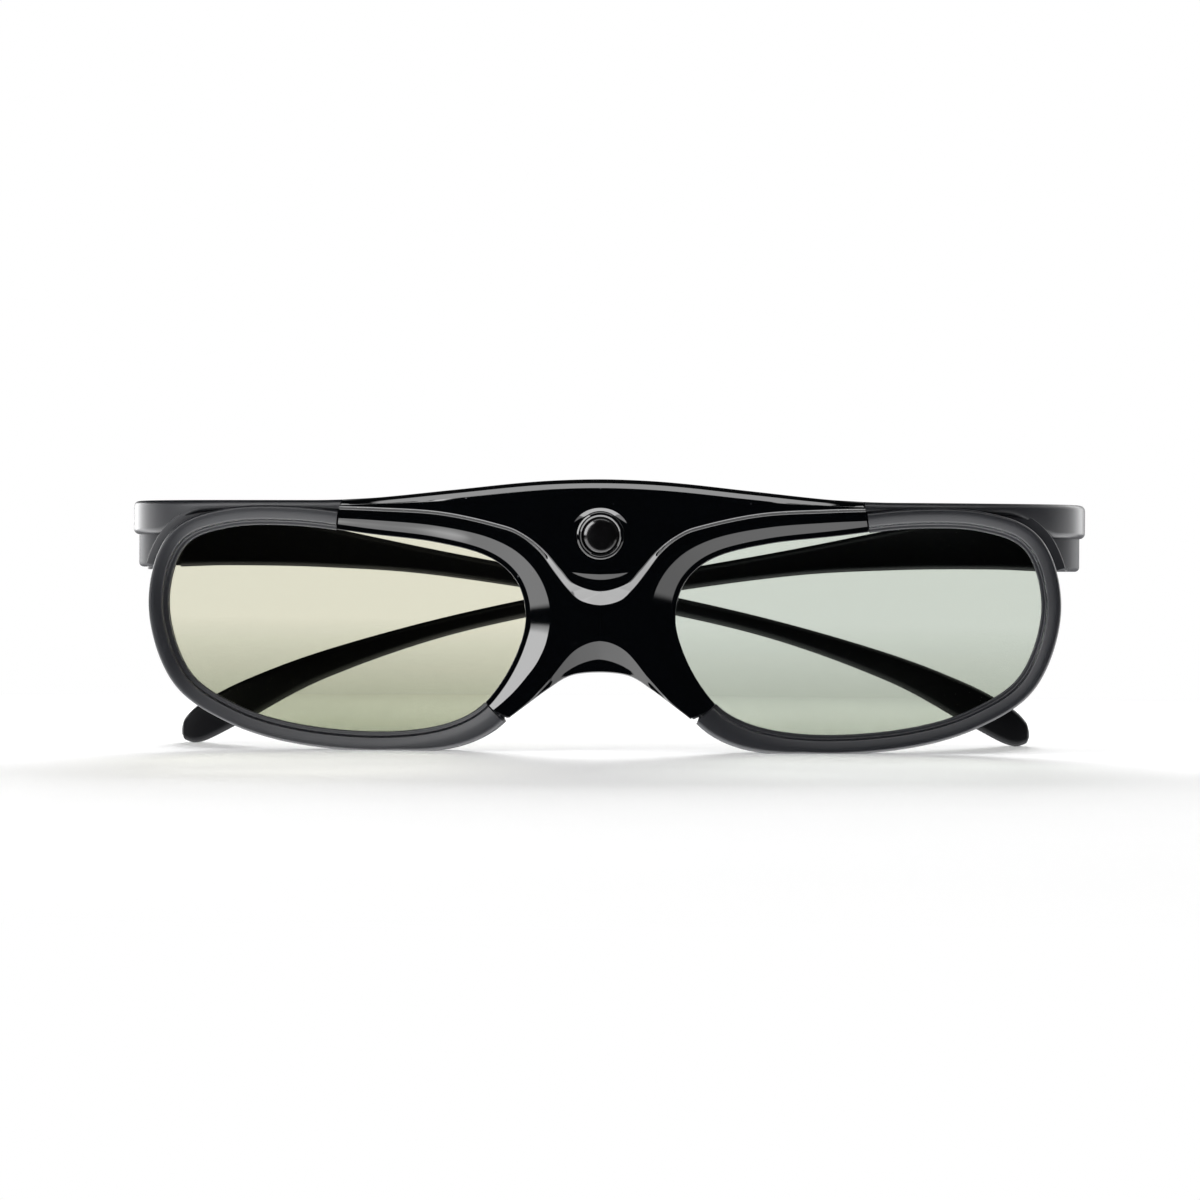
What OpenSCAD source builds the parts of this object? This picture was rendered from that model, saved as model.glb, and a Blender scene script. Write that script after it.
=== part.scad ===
// Shutter-lens 3D glasses with folding temples, drawn folded and standing on their rims.
// Millimetres. x runs to the right seen from the front, y to the back, z up.

/* [Front] */
// Width of one lens opening
lens_w = 64.4; // [62.4:0.5:66.4]
// Height of one lens opening
lens_h = 36.5; // [35.5:0.5:38]
// Gap between the two lens openings over the nose
lens_gap = 26.8; // [26.4:0.2:28]
// Width of a rim seen from the front
rim_w = 3.5; // [3.4:0.1:3.8]
// Depth of the front frame behind the rim crest
frame_d = 4.6; // [4.6:0.1:4.9]
// Depth of the rear cover at the rims
rear_d = 3; // [2.8:0.1:3.4]
// Depth of the rear cover's middle, over the battery
bulge_d = 6.2; // [6.2:0.1:6.6]
// Angle by which each half of the front sweeps back
wrap_angle = 5; // [4:0.5:6]
// Rise of the brow line from the wings to the middle
brow_rise = 3.8; // [3.2:0.2:4.2]
// Depth of the flat that the rims stand on
land_h = 0.2; // [0.15:0.05:0.3]

/* [Bridge cover] */
// Height of the brow plateau in front of the rim crests
plateau_h = 0.5; // [0.3:0.1:0.8]
// Depth of the valley between plateau and lens bevel
valley_d = 0.75; // [0.6:0.05:0.9]
// Width of the lens bevel where it meets the wings, as a share of the drawn one
bevel_share = 1; // [0.9:0.05:1.05]
// Width of the seam between bridge cover and rims
seam_gap = 0.16; // [0.1:0.02:0.24]
// Diameter of the sensor window
window_d = 6.6; // [6:0.2:6.8]
// Width of the ring round the sensor window
ring_w = 1; // [0.8:0.1:1.1]
// Height of the sensor window's centre
window_z = 38.2; // [37.6:0.2:38.6]

/* [Shutter lenses] */
// Thickness of a shutter panel
panel_t = 1.1; // [0.9:0.1:1.1]
// Thickness of a polarizing film
film_t = 0.2; // [0.15:0.05:0.2]
// Thickness of a foam gasket
gasket_t = 0.2; // [0.15:0.05:0.2]
// Reach of a shutter panel under the rim
panel_reach = 1.5; // [1.3:0.1:1.6]

/* [End blocks] */
// Width over both end blocks
span = 172.8; // [171:0.4:175]
// Height of an end block
end_h = 11.9; // [11.6:0.1:12.2]
// Thickness of an end block
end_t = 6.9; // [6.7:0.1:7.2]
// Set-back of the lower half of an end block
end_step = 1; // [0.7:0.1:1.2]

/* [Hinges and temples] */
// Depth of the hinge axis behind the front
hinge_y = 26; // [26:0.5:28]
// Distance of the hinge axis from the end block's outer face
hinge_in = 4.9; // [4.8:0.1:5]
// Diameter of a hinge pin
pin_d = 1.8; // [1.6:0.1:2]
// Radial clearance of a temple barrel on its pin
pin_clear = 0.05; // [0.03:0.01:0.08]
// Length of a temple from the hinge axis to its tip
temple_len = 161; // [157:1:163]
// Height of a temple at its thinnest
temple_h = 3.5; // [3.2:0.1:4]
// Thickness of a temple along its middle
temple_t = 2.8; // [2.4:0.1:3]
// Angle of the left temple, which lies behind the right one
left_rest = 8; // [7.5:0.25:9]
// Angle of the right temple
right_rest = 3; // [2:0.25:4]

/* [Electronics] */
// Width of the circuit board
board_w = 21; // [18:0.5:21.5]
// Height of the circuit board
board_h = 13; // [11:0.5:13.2]
// Thickness of the battery
battery_t = 2.5; // [2:0.1:2.5]
// Length of the power button
button_l = 6; // [5:0.2:6]
// Width of the power button
button_w = 2.8; // [2.4:0.1:2.8]
// Travel of the power button
button_travel = 0.4; // [0.3:0.05:0.45]

/* [Hidden] */
$fn = 48;

// The drawn front: its numbers are a scale drawing, which the sizes above stretch.
drawn_gap = 26.8;
drawn_w = 64.4;
drawn_h = 36.5;
drawn_z = 3.5;
lens_z = rim_w - land_h;
function fx(x) = x < drawn_gap / 2 ? x * lens_gap / drawn_gap
    : lens_gap / 2 + (x - drawn_gap / 2) * lens_w / drawn_w;
function fz(z) = lens_z + (z - drawn_z) * lens_h / drawn_h;
function fp(p) = [fx(p[0]), fz(p[1])];

// Outline of the right lens opening, anticlockwise from its outer end
lens_k = [[77.8, 25.6], [75.1, 36], [67, 39.6], [55, 40], [41, 38.4], [29.5, 37], [20.3, 34.6],
    [15.2, 30.5], [13.4, 24.5], [14.6, 18.5], [18, 12], [22.6, 7.2], [30, 4.4], [41, 3.5],
    [54.6, 4.8], [65.4, 8.1], [74.1, 14.2]];
lens_n = len(lens_k);
function cr(a, b, c, d, t) = 0.5 * (2 * b + (c - a) * t + (2 * a - 5 * b + 4 * c - d) * t * t
    + (3 * b - a - 3 * c + d) * t * t * t);
function lens_knot(i) = lens_k[(i + 2 * lens_n) % lens_n];
function lens_at(t) = let (i = floor(t))
    fp(cr(lens_knot(i - 1), lens_knot(i), lens_knot(i + 1), lens_knot(i + 2), t - i));
function lens_out(t) = let (v = lens_at(t + 0.03) - lens_at(t - 0.03)) [v[1], -v[0]] / norm(v);
function rim_at(t, u) = lens_at(t) + u * lens_out(t);

// The front's sweep, and where the whole stands: its box is centred on y = 0
wrap_r = 12;
function wrap(x) = tan(wrap_angle)
    * ((abs(x) < wrap_r ? (x * x + wrap_r * wrap_r) / (2 * wrap_r) : abs(x)) - wrap_r / 2);
tip_t = 1.9;
y_front = -plateau_h - 0.15;
y_back = hinge_y + (temple_len - 2.5) * sin(left_rest) + tip_t * cos(left_rest);
y0 = -(y_front + y_back) / 2;
function at(p, d) = [p[0], y0 + d + wrap(p[0]), p[1]];

// Line of the brow's top edge
brow_z = fz(48.4);
brow_half = fx(52);
function brow_top(x) = brow_z - brow_rise * (1 - cos(180 * min(abs(x) / brow_half, 1))) / 2;

// Places along the lens outline where the bridge cover starts and ends
seam_top = 3.54;
seam_low = 10.6;

// Sweeps
function tube_faces(n, m, closed) = [for (i = [0:n - (closed ? 1 : 2)]) for (j = [0:m - 1])
    let (a = i * m + j, b = i * m + (j + 1) % m, k = (i + 1) % n)
    let (c = k * m + (j + 1) % m, d = k * m + j) each [[a, c, b], [a, d, c]]];
function cap_faces(n, m) = [[for (j = [0:m - 1]) j], [for (j = [m - 1:-1:0]) (n - 1) * m + j]];
function mix(a, b, t) = a + (b - a) * t;
function ease(t) = let (s = min(max(t, 0), 1)) s * s * (3 - 2 * s);

// Rim sections as [outwards, depth], all with the same number of points
lip_d = 2.9;
pocket_u = 1.9;
recess_d = 2.4;
rim_section = [[0, 2], [0.75, 1.05], [1.5, 0.25], [2.1, 0], [2.8, 0.3], [3.3, 1.1], [3.5, 2.2],
    [3.5, frame_d], [pocket_u, frame_d], [pocket_u, lip_d], [0, lip_d]];
recess_section = [[0.3, recess_d], [0.8, recess_d], [1.4, recess_d], [2, recess_d],
    [2.5, recess_d], [3, recess_d], [3.5, recess_d], [3.5, frame_d], [pocket_u, frame_d],
    [pocket_u, lip_d], [0.3, lip_d]];
function leg_wide(t) = 1 + 0.42 * max(0, 1 - pow((t - seam_low) / 2, 2));
function rim_wide(u, t) = u <= pocket_u ? u : pocket_u
    + (u - pocket_u) * (rim_w * leg_wide(t) - pocket_u) / (3.5 - pocket_u);
open_t = [for (i = [0:32]) mix(seam_low, lens_n + seam_top, i / 32)];
shut_t = [for (i = [0:21]) mix(seam_top + 0.008, seam_low - 0.008, i / 21)];
module rim(open_section, shut_section) {
    m = len(open_section);
    pts = concat([for (t = open_t) for (s = open_section) at(rim_at(t, rim_wide(s[0], t)), s[1])],
        [for (t = shut_t) for (s = shut_section)
            at(rim_at(t, rim_wide(s[0], lens_n)), s[1])]);
    polyhedron(pts, tube_faces(len(open_t) + len(shut_t), m, true), convexity = 6);
}
module lens_prism(u, d0, d1) {
    ts = [for (i = [0:2 * lens_n - 1]) i / 2];
    n = len(ts);
    ring = [for (t = ts) rim_at(t, u)];
    pts = concat([for (p = ring) at(p, d0)], [for (p = ring) at(p, d1)]);
    faces = concat([[for (i = [n - 1:-1:0]) i], [for (i = [0:n - 1]) n + i]],
        [for (i = [0:n - 1]) each [[i, (i + 1) % n, n + i], [(i + 1) % n, n + (i + 1) % n, n + i]]]);
    polyhedron(pts, faces, convexity = 4);
}
module both() {
    children();
    mirror([1, 0, 0]) children();
}

// The middle of the front as a net: rows follow the lens edge from the upper to the lower seam,
// columns run from the lens edge over bevel, valley and plateau to the outer edge.
row_t = [3.54, 4, 5, 6, 6.5, 7, 7.5, 8, 8.35, 8.7, 9, 9.2, 9.5, 10, 10.6];
rows = len(row_t) - 1;
row_top = 4;
row_nose = 10;
ridge_u = [2.2, 2.7, 3.1, 3.4, 3.7, 4, 4.4, 4.7, 4.6, 4.5, 4.3, 4.25, 4.1, 3.7, 2.7];
valley_p = [[47.3, 42.2], [41, 41.9], [29, 41], [18, 38.9], [14.4, 37.1], [11.1, 34.2], [9, 30.9],
    [7.2, 26.8], [6.2, 24.2], [6.6, 21.6], [7.4, 18.6], [8.9, 17], [11.5, 13.9], [14.9, 9.9],
    [18.2, 7.05]];
foot_p = [[46.9, 43], [40.5, 42.75], [28.3, 42], [17, 40.2], [13.6, 38.8], [10.4, 36.2],
    [8.1, 32.7], [5.65, 29.1], [3.2, 27.1], [0, 26.2], [0, 19.9], [7.7, 17.5], [10.9, 14.1],
    [14.6, 9.75], [18, 6.95]];
step_p = [[46.85, 43.3], [40.4, 43.3], [28, 42.7], [16.4, 40.9], [12.9, 39.4], [9.6, 36.6],
    [7.1, 33.1], [4.4, 29.9], [0, 28.6], [0, 26.2], [0, 19.9], [6.8, 17.9], [10.5, 14.3],
    [14.35, 9.65], [17.8, 6.85]];
flat_p = [[46.75, 43.6], [40, 44], [27.2, 44.2], [14, 44], [6, 43.5], [4.6, 38.6], [3.4, 34],
    [0, 31.5], [0, 28.6], [0, 26.2], [0, 19.9], [6.1, 18.15], [10.2, 14.45],
    [14.15, 9.58], [17.6, 6.75]];
crest_d = [0.4, 0.35, 0.3, 0.25, 0.2, 0.15, 0.1, 0.1, 0.1, 0.1, 0.15, 0.15, 0.2, 0.3, 0.4];
nose_d = 0.45;
// Outer edge: along the brow, down the middle and along the nose arch, as start, middle and end of a bevel
brow_x = [46.4, 39.5, 26, 11, 0];
mid_z = [41, 34.5, 31.5, 28.6, 26.2];
arch_in = [[0, 19.9], [5.5, 18.3], [9.9, 14.6], [13.95, 9.5], [17.4, 6.65]];
arch_mid = [[0, 16.6], [5.2, 15.6], [9.4, 12.7], [13.4, 9], [16.9, 6.4]];
arch_out = [[0, 14.3], [5, 13.75], [9, 11.45], [12.9, 8.55], [16.3, 6]];
brow_in = [0.75, 1.25, 1.5, 1.6, 1.6];
edge_in = concat([for (i = [0:4]) [brow_x[i], (brow_top(fx(brow_x[i])) - brow_in[i] - lens_z)
    * drawn_h / lens_h + drawn_z]], [for (z = mid_z) [0, z]], arch_in);
edge_mid = concat([for (i = [0:4]) [brow_x[i], (brow_top(fx(brow_x[i])) - brow_in[i] * 0.35 - lens_z)
    * drawn_h / lens_h + drawn_z]], [for (z = mid_z) [0, z]], arch_mid);
edge_out = concat([for (i = [0:4]) [brow_x[i], (brow_top(fx(brow_x[i])) - lens_z)
    * drawn_h / lens_h + drawn_z]], [for (z = mid_z) [0, z]], arch_out);
// Depths down the same rows
p_d = -plateau_h;
valley_z = [for (i = [0:rows]) i < 7 ? valley_d : i < 8 ? 0.6 : nose_d];
foot_z = [for (i = [0:rows]) i < 7 ? valley_d - 0.1 : i < 9 ? 0.55 : nose_d];
step_z = [for (i = [0:rows]) i < 8 ? p_d + 0.15 : i < 9 ? p_d : nose_d];
flat_z = [for (i = [0:rows]) i < 9 ? p_d : nose_d];
middle_z = [for (i = [0:rows]) i < 7 ? p_d - 0.1 : i < 9 ? p_d : nose_d];
edge_in_z = [for (i = [0:rows]) i < 5 ? p_d + 0.1 : i < row_nose ? middle_z[i] : 0.5];
edge_mid_z = [for (i = [0:rows]) i < 5 ? p_d + 0.5 : i < row_nose ? middle_z[i] : 1.7];
edge_out_z = [for (i = [0:rows]) i < 5 ? 1.5 : i < row_nose ? middle_z[i] : 2.1];

function zone(i) = i < row_top ? [0, row_top] : i < row_nose ? [row_top, row_nose]
    : [row_nose, rows];
// Knots before and after a span: a line that meets the middle plane meets it squarely
function flip(p) = [-p[0], p[1]];
function before(v, i, z) = v[i][0] == 0 && v[i + 1][0] != 0 ? flip(v[i + 1])
    : v[i][0] == 0 || i == z[0] ? 2 * v[i] - v[i + 1] : v[i - 1];
function after(v, i, z) = v[i + 1][0] == 0 && v[i][0] != 0 ? flip(v[i])
    : v[i + 1][0] == 0 || i + 1 == z[1] ? 2 * v[i + 1] - v[i] : v[i + 2];
function along(v, k, zoned) = let (i = min(floor(k), rows - 1), z = zoned ? zone(i) : [0, rows])
    cr(before(v, i, z), v[i], v[i + 1], after(v, i, z), k - i);
function row_at(k) = let (i = min(floor(k), rows - 1)) mix(row_t[i], row_t[i + 1], k - i);
function on_rim(k, u, d) = at(rim_at(row_at(k), u), d);
function drawn(v, z, k, zoned) = at(fp(along(v, k, zoned)), along(z, k, zoned));
function cover_row(k) = [on_rim(k, 0.15, 2), on_rim(k, 0.7, 1.8),
    on_rim(k, along(ridge_u, k, false) * bevel_share, along(crest_d, k, false)),
    drawn(valley_p, valley_z, k, false), drawn(foot_p, foot_z, k, false),
    drawn(step_p, step_z, k, false), drawn(flat_p, flat_z, k, false),
    drawn(edge_in, edge_in_z, k, true), drawn(edge_mid, edge_mid_z, k, true),
    drawn(edge_out, edge_out_z, k, true)];
// Dish round the sensor: radius on the plateau, wall's width and depth, and how far it hangs down
dish_r = 6.2;
dish_w = 0.9;
dish_h = 0.45;
dish_drop = 1.3;
function flattened(row, d) = [for (p = row) [p[0], y0 + d + wrap(p[0]), p[2]]];
function slab_row(k, in) = let (b = drawn(edge_out, edge_out_z, k, true), a = on_rim(k, 2.6, 0))
    let (v = [a[0] - b[0], 0, a[2] - b[2]], c = b + (b[0] > 0 ? in / norm(v) : 0) * v)
    [a, [(a[0] + c[0]) / 2, 0, (a[2] + c[2]) / 2], c];

// A closed shell from front rows and back rows, mirrored to the left
module net(front, back) {
    n = len(front);
    m = len(front[0]);
    right = concat([for (r = front) each r], [for (r = back) each r]);
    left = [for (p = right) [-p[0], p[1], p[2]]];
    half = n * m;
    cells = [for (i = [0:n - 2]) for (j = [0:m - 2]) let (a = i * m + j, b = a + m)
        each [[a, b + 1, a + 1], [a, b, b + 1]]];
    sheet = [for (f = cells) let (a = right[f[0]], b = right[f[1]], c = right[f[2]])
        if (a[0] + b[0] + c[0] > 0.001 && norm(cross(b - a, c - a)) > 0.00001) f];
    backs = [for (f = sheet) [half + f[2], half + f[1], half + f[0]]];
    inner = [for (i = [0:n - 2]) each [[i * m, half + i * m, half + (i + 1) * m],
        [i * m, half + (i + 1) * m, (i + 1) * m]]];
    outer = [for (i = [0:n - 2]) if (front[i][m - 1][0] + front[i + 1][m - 1][0] > 0.001)
        let (a = i * m + m - 1, b = (i + 1) * m + m - 1)
        each [[a, half + b, half + a], [a, b, half + b]]];
    first = [for (j = [0:m - 2]) each [[j, j + 1, half + j + 1], [j, half + j + 1, half + j]]];
    last = [for (j = [0:m - 2]) let (a = (n - 1) * m + j)
        each [[a, half + a + 1, a + 1], [a, half + a, half + a + 1]]];
    faces = concat(sheet, backs, inner, outer, first, last);
    flip = [for (f = faces) [2 * half + f[2], 2 * half + f[1], 2 * half + f[0]]];
    polyhedron(concat(right, left), concat(faces, flip), convexity = 8);
}
cover_ks = [for (i = [0:2 * rows]) i == 0 ? (0.008 + seam_gap / 14) / 0.46
    : i == 2 * rows ? rows - (0.008 + seam_gap / 6.6) / 0.6 : i / 2];
module slab(in, d0, d1) {
    ks = [for (i = [0:2 * rows]) i == 0 ? 0.12 : i == 2 * rows ? rows - 0.15 : i / 2];
    flat = [for (k = ks) slab_row(k, in)];
    net([for (r = flat) flattened(r, d0)], [for (r = flat) flattened(r, d1)]);
}

// Brow wings and end blocks: sections along a curve seen from above
half_span = span / 2;
end_top = brow_z - brow_rise;
end_low = end_top - end_h;
end_mid = end_top - 6;
end_back = hinge_y - 3;
wing_b = [[fx(44), wrap(fx(44)) + 0.9], [fx(72), wrap(fx(72)) + 1.2], [half_span, 9],
    [half_span, end_back]];
wing_in = [[fx(44), wrap(fx(44)) + frame_d - 0.3], [fx(78), wrap(fx(78)) + frame_d + 1.4],
    [half_span - end_t, 14], [half_span - end_t, end_back]];
function bez(b, t) = pow(1 - t, 3) * b[0] + 3 * t * pow(1 - t, 2) * b[1]
    + 3 * t * t * (1 - t) * b[2] + t * t * t * b[3];
function round_box(a0, a1, z0, z1, r) = [for (c = [[a1 - r, z1 - r, 0], [a0 + r, z1 - r, 90],
    [a0 + r, z0 + r, 180], [a1 - r, z0 + r, 270]]) for (q = [0:45:90])
    [c[0] + r * cos(c[2] + q), c[1] + r * sin(c[2] + q)]];
function wing_low(t) = mix(fz(42.4), end_mid, ease((t - 0.4) / 0.25));
wing_n = 16;
module wing() {
    pts = [for (i = [0:wing_n]) let (t = i / wing_n, p = bez(wing_b, t), v = bez(wing_in, t) - p)
        for (q = round_box(0, norm(v), wing_low(t), brow_top(p[0]), 1))
            [p[0] + v[0] * q[0] / norm(v), y0 + p[1] + v[1] * q[0] / norm(v), q[1]]];
    polyhedron(pts, concat(tube_faces(wing_n + 1, 12, false), cap_faces(wing_n + 1, 12)), convexity = 6);
}
module shoulder_plate(t) {
    p = bez(wing_b, t);
    v = bez(wing_in, t) - p;
    translate([p[0], y0 + p[1], 0]) rotate([0, 0, atan2(v[1], v[0])]) rotate([90, 0, 0])
        linear_extrude(0.3, center = true)
            polygon(round_box(end_step, norm(v), end_low, end_mid + 1.5, 0.8));
}
shoulder_from = 0.6;
module shoulder() {
    n = 5;
    for (i = [0:n - 1]) hull() {
        shoulder_plate(mix(shoulder_from, 0.99, i / n));
        shoulder_plate(mix(shoulder_from, 0.99, (i + 1) / n));
    }
}

// Room for the end of the bridge cover, along its upper seam
module seam_cut() {
    p = rim_at(seam_top, 0);
    q = [fx(brow_x[0]), brow_top(fx(brow_x[0]))];
    v = q - p;
    translate([p[0], y0, p[1]]) rotate([0, atan2(v[0], v[1]), 0])
        translate([-12, -2, -2]) cube([12, wrap(p[0]) + recess_d + 2, 10]);
}

// Places of what the end blocks hold
port_x = half_span - 4.7;
port_y = 18.5;
port_l = 6.6;
port_w = 2.4;
port_h = 5;
pipe_r = 0.6;
pipe_x = half_span - 5.5;
pipe_y = 13.9;
fit_gap = 0.05;
move_gap = 0.3;
module end_box(x, y, l, w, z0, z1) {
    translate([x - w / 2, y0 + y - l / 2, z0]) cube([w, l, z1 - z0]);
}
module oval(x, y, l, w, z0, z1) {
    for (s = [-1, 1]) translate([x, y0 + y + s * (l - w) / 2, z0]) cylinder(d = w, h = z1 - z0);
    end_box(x, y, l - w, w, z0, z1);
}

// Hinges
hinge_x = half_span - hinge_in;
lug_h = 2.4;
lug_r = 2.2;
lug_gap = 0.3;
lug_top = end_top - 0.8;
lug_low = end_low + 0.8;
barrel_r = 2.4;
tenon_z = end_top - 5.2;

// Rear cover and what lies in the middle
rear_front = frame_d + 0.05;
rear_back = rear_front + rear_d;
bulge_back = rear_front + bulge_d;
clamp_d = frame_d + 0.2;
bulge_w = 26;
bulge_front = rear_front + wrap(bulge_w / 2) + 0.1;
bulge_z0 = fz(30);
bulge_z1 = fz(45.7);
wall = 1.2;
board_d = rear_front + 0.1 + wrap(board_w / 2);
board_t = 0.8;
board_z = (bulge_z0 + bulge_z1) / 2;
chip_t = 0.9;
battery_d = board_d + board_t + chip_t + 0.15;
battery_w = 19;
battery_h = 11.5;
screw_p = [[fx(24), fz(43)], [fx(5.5), fz(22.5)]];
screw_head = 2.6;
screw_d = 1.4;
head_h = 0.9;
rear_section = [[0.2, clamp_d], [pocket_u, clamp_d], [pocket_u + 0.05, rear_front],
    [3.5, rear_front], [3.5, rear_back - 1], [3, rear_back - 0.2], [2.2, rear_back],
    [1.2, rear_back - 0.2], [0.4, clamp_d + 1]];
strip_end = fx(49.4);
ring_gap = 0.35;
module rear_strip() {
    n = 2;
    for (i = [0:n - 1]) hull() {
        for (x = [mix(fx(40), strip_end, i / n), mix(fx(40), strip_end, (i + 1) / n)])
            translate([x, y0 + wrap(x), 0]) rotate([90, 0, 90]) linear_extrude(0.01)
                polygon(round_box(rear_front, rear_back - 0.3, fz(42), brow_top(x) - 0.25, 0.5));
    }
}
module front_box(x0, x1, d0, d1, z0, z1) {
    translate([x0, y0 + d0, z0]) cube([x1 - x0, d1 - d0, z1 - z0]);
}
module along_y(x, z, r, d0, d1) {
    translate([x, y0 + d0, z]) rotate([-90, 0, 0]) cylinder(r = r, h = d1 - d0);
}
module floor_cut() {
    translate([-100, y0 - 20, -5]) cube([200, 120, 5]);
}

// Sub-parts
module front_frame() {
    color("DimGray") difference() {
        union() {
            both() {
                rim(rim_section, recess_section);
                difference() {
                    union() {
                        wing();
                        shoulder();
                    }
                    seam_cut();
                    lens_prism(pocket_u + 0.5, 1.5, rear_back);
                    lens_prism(rim_w + ring_gap, frame_d + 0.03, rear_back + 0.1);
                }
            }
            slab(0.2, recess_d + 0.04, frame_d - 0.05);
        }
        along_y(0, window_z, window_d / 2 + ring_w, -3, 9);
        both() {
            for (p = screw_p) along_y(p[0], p[1], screw_d / 2 + fit_gap, 3.2 + wrap(p[0]), 9);
            end_box(hinge_x, end_back - 0.4, 0.8 + fit_gap, 4.2 + fit_gap,
                lug_low - fit_gap, lug_top + fit_gap);
            end_box(hinge_x, end_back - 2, 4 + fit_gap, 2.4 + fit_gap, tenon_z - fit_gap,
                lug_top - 0.6 + fit_gap);
        }
        end_box(port_x, port_y, port_l + fit_gap, port_w + fit_gap, end_low - 1,
            end_low + port_h + fit_gap);
        oval(-port_x, port_y, button_l + 2 * move_gap, button_w + 2 * move_gap, end_low - 1,
            end_low + 4);
        oval(-port_x, port_y, button_l + 1 + move_gap, button_w + 1 + move_gap, end_low + 1.2,
            end_low + 4.6);
        translate([-pipe_x, y0 + pipe_y, end_low - 1]) cylinder(r = pipe_r + fit_gap, h = 5);
        floor_cut();
    }
}
module bridge_cover() {
    rs = [for (k = cover_ks) cover_row(k)];
    color("Black") difference() {
        net(rs, [for (r = rs) flattened(r, recess_d - 0.05)]);
        along_y(0, window_z, window_d / 2 + ring_w + fit_gap, -3, 5);
        translate([0, y0 - plateau_h - dish_h, window_z - dish_drop]) rotate([-90, 0, 0])
            cylinder(r1 = dish_r + dish_w, r2 = dish_r - dish_w, h = 2 * dish_h);
    }
}
module rear_cover() {
    color("DimGray") difference() {
        union() {
            both() {
                rim(rear_section, rear_section);
                rear_strip();
            }
            slab(0.4, rear_front + 0.04, rear_back - 0.25);
            hull() {
                for (z = [bulge_z0 + 2, bulge_z1 - 2]) for (x = [-bulge_w / 2 + 2, bulge_w / 2 - 2]) {
                    along_y(x, z, 2, bulge_front, bulge_back - 1);
                    along_y(x, z, 1, bulge_front, bulge_back);
                }
            }
        }
        front_box(-board_w / 2 - 0.3, board_w / 2 + 0.3, rear_front - 1, bulge_back - wall,
            board_z - board_h / 2 - 0.3, board_z + board_h / 2 + 0.3);
        both() {
            for (p = screw_p) {
                along_y(p[0], p[1], screw_d / 2 + fit_gap, 0, 12);
                along_y(p[0], p[1], screw_head / 2 + fit_gap, rear_back - head_h + wrap(p[0]) - 0.1, 20);
            }
            flex_shape(0.12);
        }
        floor_cut();
    }
}

// Flat pieces in the plane of the right lens
module plate(d0, d1) {
    translate([0, y0 + d0 - tan(wrap_angle) * wrap_r / 2, 0]) rotate([0, 0, wrap_angle])
        rotate([90, 0, 0]) translate([0, 0, d0 - d1]) linear_extrude(d1 - d0) children();
}
module lens_shape(u) {
    polygon([for (i = [0:3 * lens_n - 1]) let (p = rim_at(i / 3, u))
        [p[0] / cos(wrap_angle), p[1]]]);
}
gasket_d = lip_d + fit_gap;
film_d = gasket_d + gasket_t + 0.02;
panel_d = film_d + film_t + 0.02;
rear_film_d = panel_d + panel_t + 0.02;
module shutter() {
    color("LightGray") plate(panel_d, panel_d + panel_t) lens_shape(panel_reach);
}
module front_film() {
    color("Tan") plate(film_d, film_d + film_t) lens_shape(panel_reach - 0.2);
}
module rear_film() {
    color("Tan") plate(rear_film_d, rear_film_d + film_t) lens_shape(0.1);
}
module gasket() {
    color("Black") plate(gasket_d, gasket_d + gasket_t) difference() {
        lens_shape(pocket_u - 0.1);
        lens_shape(0.3);
    }
}
flex_d = frame_d + 0.02;
flex_t = 0.12;
module flex_shape(grow) {
    a = rim_at(6, 1.2);
    b = [board_w / 2 - 2.2, board_z + 1.5];
    v = (b - a) / norm(b - a);
    w = [-v[1], v[0]] * (1.4 + grow);
    c = b + v * grow;
    plate(flex_d - grow, flex_d + flex_t + grow)
        polygon([for (p = [a + w, c + w, c - w, a - w]) [p[0] / cos(wrap_angle), p[1]]]);
}
module flex() {
    color("DarkGoldenrod") flex_shape(0);
}

module left_shutter() { mirror([1, 0, 0]) shutter(); }
module right_shutter() { shutter(); }
module left_front_film() { mirror([1, 0, 0]) front_film(); }
module right_front_film() { front_film(); }
module left_rear_film() { mirror([1, 0, 0]) rear_film(); }
module right_rear_film() { rear_film(); }
module left_gasket() { mirror([1, 0, 0]) gasket(); }
module right_gasket() { gasket(); }
module left_flex() { mirror([1, 0, 0]) flex(); }
module right_flex() { flex(); }

// Sensor
module window_ring() {
    r = window_d / 2;
    color("Black") translate([0, y0 - plateau_h, window_z]) rotate([-90, 0, 0]) rotate_extrude()
        polygon([[r, 0.3], [r + 0.35, 0], [r + ring_w, 0.25], [r + ring_w, 2.4 + plateau_h],
            [r, 2.4 + plateau_h]]);
}
module sensor_window() {
    r = window_d / 2 - 0.05;
    color("Maroon") translate([0, y0 - plateau_h, window_z]) rotate([-90, 0, 0]) rotate_extrude()
        polygon(concat([for (a = [0:15:90]) [r * sin(a), 0.8 - 0.4 * cos(a)]], [[r, 2], [0, 2]]));
}
module photodiode() {
    color("Black") {
        front_box(-1.8, 1.8, board_d - 1.6, board_d - 0.02, window_z - 2, window_z + 2);
        along_y(0, window_z, 1.3, board_d - 2.1, board_d - 1.5);
    }
}
module circuit_board() {
    color("DarkGreen") difference() {
        front_box(-board_w / 2, board_w / 2, board_d, board_d + board_t, board_z - board_h / 2,
            board_z + board_h / 2);
        for (s = [-1, 1]) along_y(s * (board_w / 2 - 1.6), board_z - board_h / 2 + 1.6, 0.8, 0, 9);
    }
}
module board_chips() {
    d = board_d + board_t + 0.02;
    color("Black") {
        front_box(-3, 3, d, d + chip_t, board_z - 3, board_z + 3);
        front_box(5, 8, d, d + chip_t, board_z + 0.5, board_z + 4);
        front_box(-8, -5.4, d, d + chip_t - 0.2, board_z - 3, board_z + 0.5);
        for (x = [-8, -6.4, 4.6, 6.2]) front_box(x, x + 0.8, d, d + 0.5, board_z - 5, board_z - 3.6);
    }
}
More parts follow.
